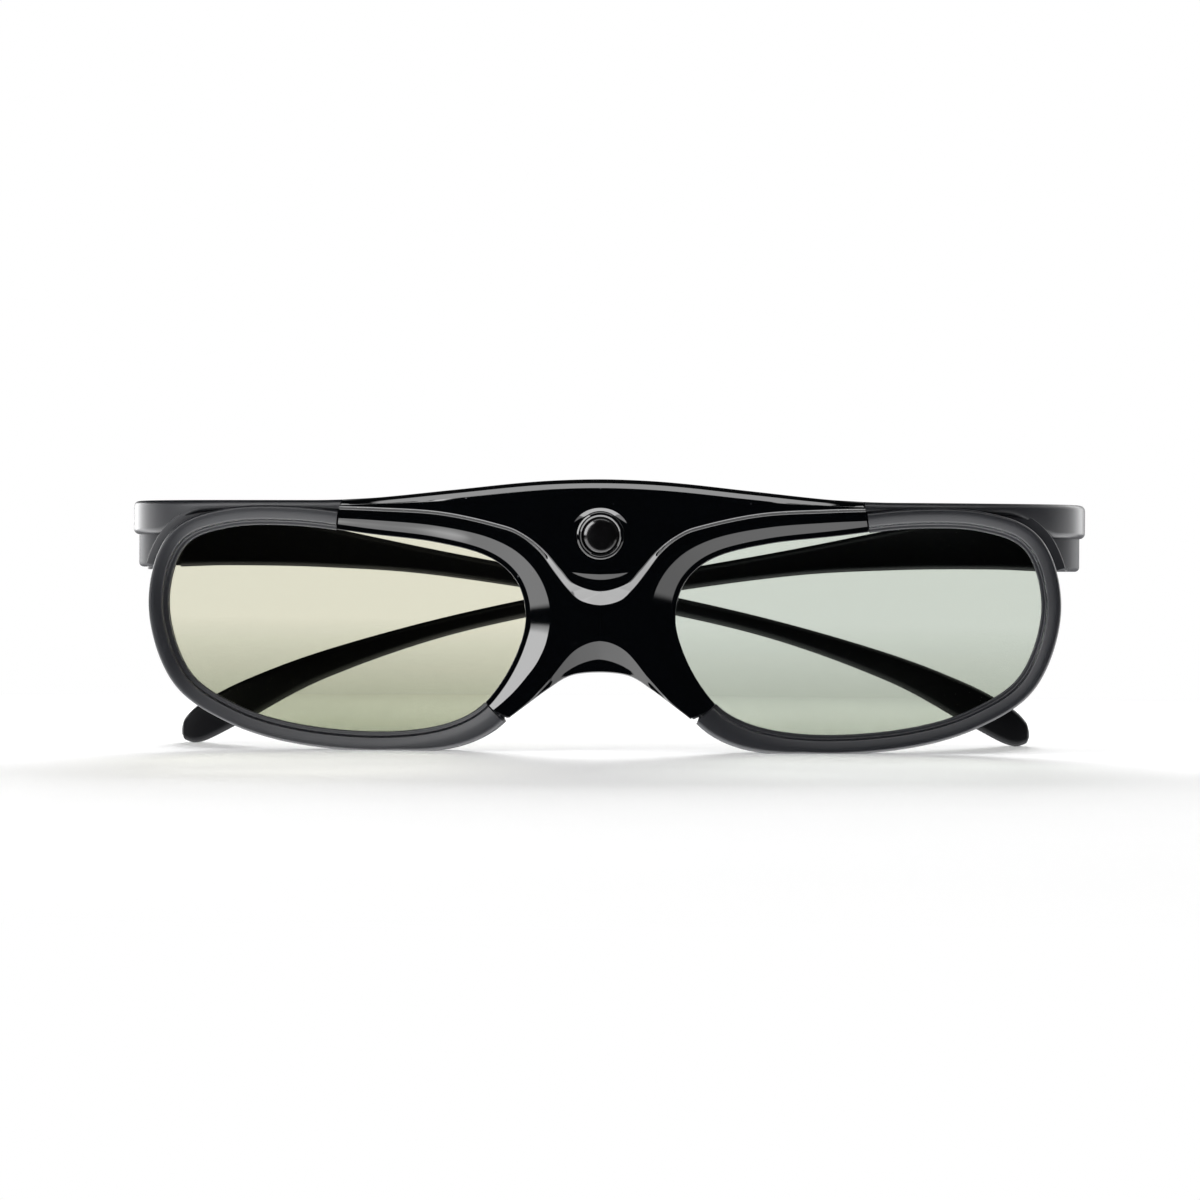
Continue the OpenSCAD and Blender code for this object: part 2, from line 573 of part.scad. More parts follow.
module battery() {
    r = 1.1;
    color("Silver") translate([0, y0 + battery_d, board_z]) rotate([-90, 0, 0])
        linear_extrude(battery_t) union() {
            square([battery_w, battery_h - 2 * r], center = true);
            square([battery_w - 2 * r, battery_h], center = true);
            for (i = [-1, 1]) for (j = [-1, 1])
                translate([i * (battery_w / 2 - r), j * (battery_h / 2 - r)]) circle(r);
        }
}

// End block fittings
module charging_socket() {
    color("Silver") difference() {
        end_box(port_x, port_y, port_l, port_w, end_low + 0.1, end_low + port_h);
        end_box(port_x, port_y, port_l - 0.6, port_w - 0.6, end_low, end_low + port_h - 0.4);
    }
}
module socket_tongue() {
    color("Black") end_box(port_x + 0.3, port_y, port_l - 2.2, 0.7, end_low + 1,
        end_low + port_h - 0.42);
}
button_top = end_low + 2.4;
module power_button() {
    color("DimGray") {
        oval(-port_x, port_y, button_l, button_w, end_low - 0.5, button_top);
        oval(-port_x, port_y, button_l + 0.9, button_w + 0.9, end_low + 1.55, button_top);
    }
}
module button_switch() {
    color("Silver") {
        end_box(-port_x, port_y, 4, 3, button_top + button_travel + 0.7, end_low + 4.55);
        translate([-port_x, y0 + port_y, button_top + button_travel + 0.15])
            cylinder(r = 0.9, h = 0.7);
    }
}
module light_pipe() {
    color("White") translate([-pipe_x, y0 + pipe_y, end_low + 0.02]) cylinder(r = pipe_r, h = 3.9);
}

// Nose pads and screws
module nose_pad() {
    ps = [[16.6, 8.2, 1.8], [13.9, 12, 2.1], [11.2, 15.8, 1.7]];
    color("Black") hull() {
        for (p = ps) {
            q = fp(p);
            translate(at(q, rear_back + 2.7)) sphere(r = p[2], $fn = 20);
            translate(at(q, rear_back + 0.03)) rotate([0, 0, wrap_angle]) rotate([-90, 0, 0])
                cylinder(r = p[2] - 0.4, h = 2, $fn = 20);
        }
    }
}
module left_nose_pad() { mirror([1, 0, 0]) nose_pad(); }
module right_nose_pad() { nose_pad(); }
module rear_screws() {
    color("Silver") both() for (p = screw_p) {
        b = rear_back + wrap(p[0]) - 0.1;
        difference() {
            union() {
                along_y(p[0], p[1], screw_head / 2, b - head_h, b);
                along_y(p[0], p[1], screw_d / 2, 3.3 + wrap(p[0]), b - head_h + 0.1);
            }
            front_box(p[0] - 0.9, p[0] + 0.9, b - 0.4, b + 1, p[1] - 0.2, p[1] + 0.2);
            front_box(p[0] - 0.2, p[0] + 0.2, b - 0.4, b + 1, p[1] - 0.9, p[1] + 0.9);
        }
    }
}

// Hinges
module hinge() {
    color("DimGray") difference() {
        union() {
            end_box(hinge_x, end_back - 0.4, 0.8, 4.2, lug_low, lug_top);
            end_box(hinge_x, end_back - 2, 4, 2.4, tenon_z, lug_top - 0.6);
            for (z = [lug_low, lug_top - lug_h]) {
                translate([hinge_x, y0 + hinge_y, z]) cylinder(r = lug_r, h = lug_h);
                end_box(hinge_x, (end_back + hinge_y) / 2 - 0.1, hinge_y - end_back + 0.2, 3.6,
                    z, z + lug_h);
            }
        }
        translate([hinge_x, y0 + hinge_y, 0]) cylinder(d = pin_d + 0.02, h = 60);
    }
}
module left_hinge() { mirror([1, 0, 0]) hinge(); }
module right_hinge() { hinge(); }
module pin() {
    color("Silver") {
        translate([hinge_x, y0 + hinge_y, lug_low + 0.1]) cylinder(d = pin_d, h = lug_top - lug_low - 0.1);
        difference() {
            translate([hinge_x, y0 + hinge_y, lug_top + 0.02]) cylinder(d = 2 * lug_r - 0.8, h = 0.6);
            end_box(hinge_x, hinge_y, 6, 0.5, lug_top + 0.3, lug_top + 2);
        }
    }
}
module left_pin() { mirror([1, 0, 0]) pin(); }
module right_pin() { pin(); }

// Temple: sections as [along, height of centre, height, inner side, outer side], hinge at 0
zc = (end_top + end_low) / 2;
th = temple_h;
tt = temple_t;
out0 = hinge_in;
temple_k = [[3, zc, end_h - 0.2, -2.3, out0], [13, zc - 0.3, 10.4, -2, out0 - 0.1],
    [30, zc - 2, 7.4, -0.6, out0 - 1], [50, zc - 4.6, th + 1.2, 0.2, tt + 0.4],
    [80, zc - 9.5, th + 0.1, 0, tt], [110, zc - 15.7, th, -0.3, tt - 0.3],
    [134, zc - 23.1, th + 1.7, -0.8, tt - 0.8], [149, zc - 29.8, th + 4, -1.2, tip_t],
    [157, zc - 33.9, th + 3.8, -1.3, tip_t], [160.2, zc - 35.2, th + 1, -1.1, tip_t - 0.2],
    [161, zc - 35.6, th - 1.9, -0.5, tip_t - 0.8]];
tn = len(temple_k) - 1;
function tk(i) = i < 0 ? 2 * temple_k[0] - temple_k[1] : i > tn ? 2 * temple_k[tn] - temple_k[tn - 1]
    : temple_k[i];
function temple_at(k) = let (i = min(floor(k), tn - 1))
    cr(tk(i - 1), tk(i), tk(i + 1), tk(i + 2), k - i);
temple_s = [for (i = [0:4 * tn]) temple_at(i / 4)];
sink = min([for (s = temple_s) s[1] - s[2] / 2]);
function settled(s) = s[1] - sink * min(s[0] / 150, 1);
module temple_arm() {
    r0 = 1.1;
    n = len(temple_s);
    k = temple_len / 161;
    pts = [for (s = temple_s) let (r = min(r0, s[2] * 0.38, (s[4] - s[3]) * 0.38), z = settled(s))
        for (p = round_box(s[3], s[4], z - s[2] / 2, z + s[2] / 2, r)) [s[0] * k, p[0], p[1]]];
    polyhedron(pts, concat(tube_faces(n, 12, false), cap_faces(n, 12)), convexity = 6);
}
module temple(rest) {
    b0 = lug_low + lug_h + lug_gap;
    b1 = lug_top - lug_h - lug_gap;
    translate([-hinge_x, y0 + hinge_y, 0]) rotate([0, 0, rest]) color("DimGray") difference() {
        union() {
            temple_arm();
            translate([-2.6, lug_r + 0.4, end_low + 0.3]) cube([6.2, out0 - lug_r - 0.5, end_h - 0.6]);
            translate([0, 0, b0]) cylinder(r = barrel_r, h = b1 - b0);
            translate([0, -barrel_r + 0.3, b0]) cube([3.6, barrel_r + lug_r, b1 - b0]);
        }
        cylinder(d = pin_d + 2 * pin_clear, h = 60);
    }
}
module left_temple() { temple(left_rest); }
module right_temple() { mirror([1, 0, 0]) temple(right_rest); }

front_frame();
bridge_cover();
rear_cover();
left_shutter();
right_shutter();
left_front_film();
right_front_film();
left_rear_film();
right_rear_film();
left_gasket();
right_gasket();
left_flex();
right_flex();
window_ring();
sensor_window();
photodiode();
circuit_board();
board_chips();
battery();
charging_socket();
socket_tongue();
power_button();
button_switch();
light_pipe();
left_nose_pad();
right_nose_pad();
rear_screws();
left_hinge();
right_hinge();
left_pin();
right_pin();
left_temple();
right_temple();
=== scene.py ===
# %% [markdown]
# # Folding 3D glasses
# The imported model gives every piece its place, its size and the body it moves with. This lesson
# dresses it: moulded surfaces are modelled again with smooth curves, small fittings keep their
# solids, and each surface gets a finish made of nodes.

# %% Load the frame
import math

import bpy
import numpy as np
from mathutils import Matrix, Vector


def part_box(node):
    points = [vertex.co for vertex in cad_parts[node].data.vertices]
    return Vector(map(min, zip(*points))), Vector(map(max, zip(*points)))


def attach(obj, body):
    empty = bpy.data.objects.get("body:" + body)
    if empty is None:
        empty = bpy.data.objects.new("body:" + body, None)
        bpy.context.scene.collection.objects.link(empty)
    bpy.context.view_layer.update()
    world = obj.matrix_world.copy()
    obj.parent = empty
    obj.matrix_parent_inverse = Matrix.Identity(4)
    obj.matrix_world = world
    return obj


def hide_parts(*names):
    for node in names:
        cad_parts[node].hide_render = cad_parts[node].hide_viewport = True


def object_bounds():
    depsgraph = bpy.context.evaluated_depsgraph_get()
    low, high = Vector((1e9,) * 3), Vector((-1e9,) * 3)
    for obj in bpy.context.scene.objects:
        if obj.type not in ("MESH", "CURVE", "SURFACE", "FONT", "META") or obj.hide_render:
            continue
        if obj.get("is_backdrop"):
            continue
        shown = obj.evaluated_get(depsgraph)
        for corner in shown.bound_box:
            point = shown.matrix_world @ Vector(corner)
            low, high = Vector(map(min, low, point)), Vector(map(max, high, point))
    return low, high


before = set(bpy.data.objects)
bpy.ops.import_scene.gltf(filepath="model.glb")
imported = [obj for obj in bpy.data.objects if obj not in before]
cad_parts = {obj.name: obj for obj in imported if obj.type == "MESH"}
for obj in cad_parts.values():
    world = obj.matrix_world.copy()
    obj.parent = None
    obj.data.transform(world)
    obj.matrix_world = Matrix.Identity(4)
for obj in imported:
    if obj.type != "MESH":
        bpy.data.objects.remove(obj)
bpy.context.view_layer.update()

scene = bpy.context.scene
scene.view_settings.view_transform = "Standard"

# %% [markdown]
# ## Camera
# The picture looks straight at the front from about an arm's length, a touch from the right.
# A camera could be set by eye, but numbers can be checked: one pixel of a picture 1200 wide covers
# 0.176 mm at the front, so the lens follows from the distance. A little roll matches the slight
# tilt of the picture.

# %% Camera
MM = 0.001
PICTURE = 1200
mm_per_pixel = 0.176
camera_range = 700
camera_turn = math.radians(3)
camera_roll = math.radians(0.35)
eye_height = 26.9
hinge_depth = 26
sensor_wide = 36

pin_low, pin_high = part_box("right_pin")
hinge = (pin_low + pin_high) / (2 * MM)
front_y = hinge.y - hinge_depth
camera_spot = (
    camera_range * math.sin(camera_turn) * MM,
    (front_y - camera_range * math.cos(camera_turn)) * MM,
    eye_height * MM,
)
bpy.ops.object.select_all(action="DESELECT")
bpy.ops.object.camera_add(location=camera_spot, rotation=(math.pi / 2, -camera_roll, camera_turn))
camera = bpy.context.object
camera.data.sensor_width = sensor_wide
camera.data.lens = sensor_wide * camera_range / (PICTURE * mm_per_pixel)
camera.data.clip_start = 0.01
scene.camera = camera
print("camera lens", round(camera.data.lens, 1), "front plane at", round(front_y, 2), "mm")

# %% [markdown]
# ## Shader helper
# Every finish below is a handful of nodes. They could be wired one call at a time, but then the
# idea is lost among the calls. `Wire` lets a socket be used in a sum, so that a mask can be
# written as `1 - dust`, and `node` adds any other node from its type, its settings and what goes
# into its sockets. `Nodes` is for any tree, `Finish` for a material.

# %% Wires
class Wire:
    """A socket of a shader tree that can be used in sums."""

    def __init__(self, tree, socket):
        self.tree = tree
        self.socket = socket

    def math(self, operation, first, second):
        node = self.tree.nodes.new("ShaderNodeMath")
        node.operation = operation
        plug(self.tree, node.inputs[0], first)
        plug(self.tree, node.inputs[1], second)
        return Wire(self.tree, node.outputs[0])

    def __add__(self, other):
        return self.math("ADD", self, other)

    __radd__ = __add__

    def __mul__(self, other):
        return self.math("MULTIPLY", self, other)

    __rmul__ = __mul__

    def __sub__(self, other):
        return self.math("SUBTRACT", self, other)

    def __rsub__(self, other):
        return self.math("SUBTRACT", other, self)

    def __gt__(self, other):
        return self.math("GREATER_THAN", self, other)


def plug(tree, socket, value):
    if isinstance(value, Wire):
        tree.links.new(value.socket, socket)
    else:
        socket.default_value = value


print("wires can be added, subtracted, multiplied and compared")

# %% Trees of nodes
class Nodes:
    """A shader tree, with one way to add any node to it."""

    def __init__(self, tree):
        self.tree = tree

    def node(self, kind, settings=(), sockets=(), out=0):
        node = self.tree.nodes.new(kind)
        for name, value in dict(settings).items():
            setattr(node, name, value)
        for name, value in dict(sockets).items():
            plug(self.tree, node.inputs[name], value)
        return Wire(self.tree, node.outputs[out])

    def blend(self, amount, low, high):
        node = self.tree.nodes.new("ShaderNodeMix")
        node.data_type = "RGBA"
        plug(self.tree, node.inputs[0], amount)
        plug(self.tree, node.inputs[6], low)
        plug(self.tree, node.inputs[7], high)
        return Wire(self.tree, node.outputs[2])

    def span(self, value, low, high, to_low=0, to_high=1):
        return self.node("ShaderNodeMapRange", {}, {"Value": value, "From Min": low,
                         "From Max": high, "To Min": to_low, "To Max": to_high}, "Result")


print("any node comes from Nodes.node")

# %% Finishes
class Finish(Nodes):
    """A material with one Principled shader, and the nodes that feed it."""

    def __init__(self, name, **constants):
        self.material = bpy.data.materials.new(name)
        self.material.use_nodes = True
        super().__init__(self.material.node_tree)
        self.shader = self.tree.nodes["Principled BSDF"]
        self.body = Wire(self.tree, self.shader.outputs[0])
        for socket, value in constants.items():
            self.shader.inputs[socket.replace("_", " ")].default_value = value
        self.place = self.node("ShaderNodeTexCoord", out="Object")

    def noise(self, scale, detail=2, rough=0.5):
        return self.node("ShaderNodeTexNoise", {}, {"Vector": self.place, "Scale": scale,
                         "Detail": detail, "Roughness": rough}, "Fac")

    def feed(self, **wires):
        for socket, wire in wires.items():
            plug(self.tree, self.shader.inputs[socket.replace("_", " ")], wire)

    def bump(self, height, strength, distance):
        wire = self.node("ShaderNodeBump", {}, {"Height": height, "Strength": strength,
                         "Distance": distance}, "Normal")
        self.feed(Normal=wire)

    def mixed(self, share, first, second):
        """Shows a mix of two shaders in place of the Principled one alone."""
        shown = self.node("ShaderNodeMixShader", {}, {0: share, 1: first, 2: second})
        plug(self.tree, self.tree.nodes["Material Output"].inputs["Surface"], shown)


def paint(piece, finish):
    piece.data.materials.clear()
    piece.data.materials.append(finish.material)


print("a finish starts from one Principled shader")

# %% [markdown]
# ## Floor
# The glasses stand on a plain white floor. Strong lamps could make it white, but they would wash
# out the glasses too. So the camera sees it as plain white far from the glasses, and near them
# mostly as it is lit, which keeps the soft contact shadow. The floor lets reflections through, as
# the glass plate of a light table does, so the glossy bevels that face down find a soft light
# below it.

# %% Floor
floor_size = 8
floor_white = 0.94
floor_grain = 0.03
shadow_share = 0.82
shadow_near = 0.2
shadow_far = 0.4

bpy.ops.object.select_all(action="DESELECT")
bpy.ops.mesh.primitive_plane_add(size=floor_size)
floor = bpy.context.object
floor.name = "floor"
floor.visible_glossy = False
floor.visible_shadow = False
floor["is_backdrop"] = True
paper = Finish("floor_paper", Roughness=0.9)
pale = (floor_white,) * 3 + (1,)
paler = (floor_white + floor_grain,) * 3 + (1,)
paper.feed(Base_Color=paper.blend(paper.noise(40, 3), pale, paler))
glow = paper.node("ShaderNodeEmission", {}, {"Color": (1, 1, 1, 1), "Strength": 1.0})
seen = paper.node("ShaderNodeLightPath", out="Is Camera Ray")
away = paper.node("ShaderNodeVectorMath", {"operation": "LENGTH"}, {0: paper.place}, "Value")
share = paper.span(away, shadow_near, shadow_far, shadow_share, 0)
paper.mixed(seen * (1 - share), paper.body, glow)
paint(floor, paper)
print("floor", tuple(round(x, 2) for x in floor.dimensions))

# %% [markdown]
# ## Light
# Three soft boxes and an even sky give plain light and a soft shadow. Gloss black shows only what
# it mirrors. More lamps could give it something to mirror, but they would light the floor as well,
# so the world holds soft cards that reflections alone can see. A facet that leans by some angle
# mirrors what lies at twice that angle. Each card is therefore given by the directions in which it
# lies, in degrees: `turn` goes anticlockwise from the right as the camera sees it, and `tilt` is
# the angle away from the camera. Round the camera it stays dark, which keeps the flat faces black,
# and behind the glasses lies the pale background.

# %% Soft boxes
# Name, turn, tilt, distance, width and height in metres, power in watts
soft_boxes = [
    ("key_box", 130, 55, 0.8, 0.5, 0.5, 2.2),
    ("top_box", 80, 84, 0.8, 0.9, 0.6, 0.7),
    ("back_box", 92, 164, 1.6, 0.6, 0.35, 57),
]
for name, turn, tilt, distance, width, height, power in soft_boxes:
    around = math.radians(turn)
    aside = math.radians(tilt)
    spoke = math.sin(aside)
    towards = Vector((spoke * math.cos(around), -math.cos(aside), spoke * math.sin(around)))
    middle = Vector((0, front_y, eye_height)) * MM
    bpy.ops.object.light_add(type="AREA", location=middle + towards * distance)
    lamp = bpy.context.object
    lamp.name = name
    lamp.rotation_euler = towards.to_track_quat("Z", "Y").to_euler()
    lamp.data.shape = "RECTANGLE"
    lamp.data.size = width
    lamp.data.size_y = height
    lamp.data.energy = power
    lamp.visible_camera = False
    lamp.visible_glossy = False
print("soft boxes:", len(soft_boxes))

# %% Sky and reflection cards
sky = 0.22
dark = 0.012
backdrop_left = 0.9
backdrop_right = 0.35
card_edge = 1.2
world = bpy.data.worlds.new("studio")
world.use_nodes = True
scene.world = world
studio = Nodes(world.node_tree)
way = studio.node("ShaderNodeTexCoord", out="Generated")
side, back, up = (studio.node("ShaderNodeSeparateXYZ", {}, {"Vector": way}, axis) for axis in "XYZ")
turn = up.math("ARCTAN2", up, side) * math.degrees(1)
tilt = back.math("ARCCOSINE", 0 - back, 0) * math.degrees(1)


def between(value, low, high):
    from_low = studio.span(value, low - card_edge, low + card_edge)
    from_high = studio.span(value, high - card_edge, high + card_edge)
    return from_low * (1 - from_high)


under_light = studio.span(turn, -150, -30, 4.6, 2.6)
right_light = studio.span(tilt, 70, 135, 1.9, 7.5)
left_light = studio.span(tilt, 70, 135, 2.8, 11)
# Name, turn from and to, tilt from and to, strength
cards = [
    ("under_card", -172, -15, 24, 45, under_light),
    ("bow_card", -134, -46, 45, 66, 11),
    ("deep_card", -168, -12, 66, 124, 9),
    ("left_card", -168, -134, 45, 66, 3.5),
    ("right_card", -46, -12, 45, 66, 3),
    ("middle_card", -128, -52, 35, 45, 8),
    ("key_card", 122, 175, 25, 52, 12),
    ("brow_card", 64, 119, 34, 58, 7),
    ("far_right", -12, 66, 64, 145, right_light),
    ("far_left", 150, 183, 64, 145, left_light),
    ("far_left_low", -183, -168, 64, 145, left_light),
]
off_level = studio.span(up.math("ABSOLUTE", up, 0), 0.15, 0.45)
behind = studio.span(back, 0.02, 0.3) * (1 - off_level)
mirrored_light = dark + behind * studio.span(side, -0.7, 0.7, backdrop_left, backdrop_right)
for name, turn_low, turn_high, tilt_low, tilt_high, strength in cards:
    card = between(turn, turn_low, turn_high) * between(tilt, tilt_low, tilt_high)
    mirrored_light = mirrored_light + card * strength
camera_ray = studio.node("ShaderNodeLightPath", out="Is Camera Ray")
glossy_ray = studio.node("ShaderNodeLightPath", out="Is Glossy Ray")
other_light = glossy_ray * mirrored_light + (1 - glossy_ray) * sky
sent_light = camera_ray + (1 - camera_ray) * other_light
background = world.node_tree.nodes["Background"]
background.inputs["Color"].default_value = (1, 1, 1, 1)
plug(world.node_tree, background.inputs["Strength"], sent_light)
print("cards:", [card[0] for card in cards])

# %% [markdown]
# ## Modelling helpers
# Moulded plastic has no sharp corners, and its surfaces run along curves. They could be carved
# from boxes, but would then lose the curve that all of them share. So each starts as a grid
# primitive whose corners are set on rows of points, as a modeller pulls a grid over a sketch.
# Doubles are merged, which closes seams and ends, and normals recalculated.

# %% Selecting, editing and shading
SMOOTH = 35
MERGE = 0.004 * MM
PARTS = {"VERT": "vertices", "EDGE": "edges", "FACE": "polygons"}


def only(piece):
    bpy.ops.object.select_all(action="DESELECT")
    piece.select_set(True)
    bpy.context.view_layer.objects.active = piece


def edit(piece):
    only(piece)
    bpy.ops.object.mode_set(mode="EDIT")
    bpy.ops.mesh.select_all(action="SELECT")


def pick(piece, kind, wanted):
    """Goes into edit mode with those corners, edges or faces selected that a test wants."""
    edit(piece)
    bpy.ops.mesh.select_all(action="DESELECT")
    bpy.ops.object.mode_set(mode="OBJECT")
    for part in getattr(piece.data, PARTS[kind]):
        part.select = wanted(part)
    bpy.ops.object.mode_set(mode="EDIT")
    bpy.ops.mesh.select_mode(type=kind)


def leave():
    bpy.ops.mesh.select_mode(type="VERT")
    bpy.ops.object.mode_set(mode="OBJECT")


def smooth(piece, angle=SMOOTH):
    only(piece)
    bpy.ops.object.shade_smooth_by_angle(angle=math.radians(angle))


def done(piece, angle=SMOOTH):
    """Closes the seams of a piece in edit mode, turns its faces outwards and shades it."""
    bpy.ops.mesh.remove_doubles(threshold=MERGE)
    bpy.ops.mesh.normals_make_consistent(inside=False)
    bpy.ops.object.mode_set(mode="OBJECT")
    smooth(piece, angle)
    return piece


print("edges under", SMOOTH, "degrees are shaded smooth")

# %% Nets
def net(name, rows, angle=SMOOTH):
    """A grid whose corners lie on rows of points, in millimetres."""
    rows = np.asarray(rows, float)
    n, m = rows.shape[:2]
    bpy.ops.object.select_all(action="DESELECT")
    bpy.ops.mesh.primitive_grid_add(x_subdivisions=n - 1, y_subdivisions=m - 1, size=1)
    piece = bpy.context.object
    piece.name = name
    for corner in piece.data.vertices:
        i = round((corner.co.x + 0.5) * (n - 1))
        j = round((corner.co.y + 0.5) * (m - 1))
        corner.co = rows[i, j] * MM
    edit(piece)
    return done(piece, angle)


def ringed(rows, capped=False, looped=False):
    """Rows of closed sections, with their first point repeated, and ends drawn to a point."""
    rows = np.asarray(rows, float)
    if looped:
        rows = np.concatenate([rows, rows[:1]])
    if capped:
        ends = [np.repeat(r.mean(axis=0)[None], len(r), axis=0) for r in (rows[0], rows[-1])]
        rows = np.concatenate([ends[:1], rows, ends[1:]])
    return np.concatenate([rows, rows[:, :1]], axis=1)


print("nets merge corners closer than", round(MERGE / MM, 3), "mm")

# %% Modifiers, cuts, mirrors and joins
def apply(piece, kind, **settings):
    only(piece)
    modifier = piece.modifiers.new(kind.lower(), kind)
    for name, value in settings.items():
        setattr(modifier, name, value)
    bpy.ops.object.modifier_apply(modifier=modifier.name)


def carve(piece, tool, operation):
    apply(piece, "BOOLEAN", object=tool, operation=operation, solver="EXACT")
    bpy.data.objects.remove(tool)


def cut(piece, cutter, angle=SMOOTH):
    carve(piece, cutter, "DIFFERENCE")
    smooth(piece, angle)


def mirrored(piece, name, angle=SMOOTH):
    only(piece)
    bpy.ops.object.duplicate()
    copy = bpy.context.object
    copy.name = name
    edit(copy)
    bpy.ops.transform.resize(value=(-1, 1, 1), center_override=(0, 0, 0))
    return done(copy, angle)


def joined(name, pieces):
    only(pieces[0])
    for piece in pieces:
        piece.select_set(True)
    bpy.ops.object.join()
    pieces[0].name = name
    print(name, len(pieces[0].data.polygons), "faces")
    return pieces[0]


print("cuts are exact booleans")

# %% Rounded corners
most_of_side = 0.45


def bend(a, b, c, radius, steps):
    """Points that round the corner b on the way from a to c."""
    to_a = a - b
    to_c = c - b
    long_a = max(np.linalg.norm(to_a), 1e-9)
    long_c = max(np.linalg.norm(to_c), 1e-9)
    r = min(radius, most_of_side * long_a, most_of_side * long_c)
    start = b + to_a * r / long_a
    end = b + to_c * r / long_c
    shares = np.linspace(0, 1, steps)
    return [(1 - t) ** 2 * start + 2 * t * (1 - t) * b + t * t * end for t in shares]


def rounded_ring(points, radius, steps=5):
    """A closed line with every corner rounded."""
    p = np.asarray(points, float)
    n = len(p)
    corners = [bend(p[i - 1], p[i], p[(i + 1) % n], radius, steps) for i in range(n)]
    return np.concatenate(corners)


def rounded_line(points, radii, steps=9):
    """An open line with its own radius at every corner, and a point half way along each straight."""
    p = np.asarray(points, float)
    line = [p[0]]
    for i in range(1, len(p) - 1):
        corner = bend(p[i - 1], p[i], p[i + 1], radii[i - 1], steps)
        line.append((line[-1] + corner[0]) / 2)
        line += corner
    line.append((line[-1] + p[-1]) / 2)
    return np.array(line + [p[-1]])


def rounded_box(a0, a1, z0, z1, r, steps=7):
    """The outline of a box with round corners, from its sides and the radius."""
    middles = [(a1 - r, z1 - r), (a0 + r, z1 - r), (a0 + r, z0 + r), (a1 - r, z0 + r)]
    outline = []
    for quarter, (a, z) in enumerate(middles):
        for degrees in np.linspace(0, 90, steps):
            q = math.radians(90 * quarter + degrees)
            outline.append((a + r * math.cos(q), z + r * math.sin(q)))
    return outline


print("points round a box:", len(rounded_box(0, 2, 0, 1, 0.2)))

# %% [markdown]
# ## Lens outline
# Both lenses have one outline, drawn with seventeen knots and a smooth curve through them. More
# knots would follow the picture more closely, but would make the curve uneven. The same curve
# carries the rims, the bridge cover and the rear cover, so nothing needs fitting. The front sweeps
# back a little to both sides, and the rims end in a thin flat on the floor.

# %% Lens outline and sweep of the front
land = 0.2
wrap_slope = math.tan(math.radians(5))
wrap_r = 12
lens_knots = np.array([
    (77.8, 25.6), (75.1, 36), (67, 39.6), (55, 40), (41, 38.4), (29.5, 37), (20.3, 34.6), (15.2, 30.5),
    (13.4, 24.5), (14.6, 18.5), (18, 12), (22.6, 7.2), (30, 4.4), (41, 3.5), (54.6, 4.8), (65.4, 8.1),
    (74.1, 14.2)])
knots = len(lens_knots)
seam_top = 3.54
seam_low = 10.6
seam_step = 0.008
look_ahead = 0.03


def curve(a, b, c, d, t):
    square = 2 * a - 5 * b + 4 * c - d
    cube = 3 * b - a - 3 * c + d
    return 0.5 * (2 * b + (c - a) * t + square * t * t + cube * t ** 3)


def lens_at(t):
    i = math.floor(t)
    x, z = curve(*(lens_knots[(i + j) % knots] for j in (-1, 0, 1, 2)), t - i)
    return np.array([x, z - land])


def rim_at(t, u):
    """A place beside the outline, u millimetres away from the lens."""
    v = lens_at(t + look_ahead) - lens_at(t - look_ahead)
    return lens_at(t) + u * np.array([v[1], -v[0]]) / np.linalg.norm(v)


def wrap(x):
    """How far the front has swept back at x: round in the middle, then straight."""
    x = abs(x)
    run = x if x > wrap_r else (x * x + wrap_r ** 2) / (2 * wrap_r)
    return wrap_slope * (run - wrap_r / 2)


def front(p, depth):
    return np.array([p[0], front_y + depth + wrap(p[0]), max(p[1], 0)])


def mix_of(a, b, t):
    return a + (b - a) * t


def ease(t):
    t = min(max(t, 0), 1)
    return t * t * (3 - 2 * t)


outline = [lens_at(t) for t in np.linspace(0, knots, 200)]
print("lens opening", np.ptp(outline, axis=0).round(1), "mm")

# %% [markdown]
# ## Rims
# A rim is one section swept round the outline: a lip towards the lens, a crest that leans a little
# to the lens, and a straight side. Under the bridge cover the section drops to a recess, with a
# clean step at both seams. A curve with a bevel object could sweep one section, but not change it
# on the way, so the sections are set one by one. A ring of them makes a closed band with no caps.

# %% Rims
rim_wide = 3.5
rim_round = 0.3
frame_depth = 4.6
lip = 2.9
pocket = 1.9
recess = 2.4
rim_section = [
    (0, 1.8), (0.85, 1.75), (0.95, 0.41), (2.45, 0.04), (3.1, 0), (3.4, 0.2), (rim_wide, 0.9),
    (rim_wide, 2.2), (rim_wide, frame_depth), (pocket, frame_depth), (pocket, lip), (0, lip)]
recess_us = [0.3, 0.8, 1.2, 1.6, 2, 2.5, 3, rim_wide]
recess_section = [(u, recess) for u in recess_us]
recess_section += [(rim_wide, frame_depth), (pocket, frame_depth), (pocket, lip), (recess_us[0], lip)]
leg_swell = 0.42
leg_run = 2


def leg(t):
    """The rim is wider where it runs down to the lower seam."""
    return 1 + leg_swell * max(0, 1 - ((t - seam_low) / leg_run) ** 2)


def swept(section, t, wide):
    """A section at its place on the outline, with the part outside the pocket made wider."""
    ring = rounded_ring(section, rim_round)
    outer = pocket + (ring[:, 0] - pocket) * (rim_wide * wide - pocket) / (rim_wide - pocket)
    us = np.where(ring[:, 0] <= pocket, ring[:, 0], outer)
    return [front(rim_at(t, u), d) for u, d in zip(us, ring[:, 1])]


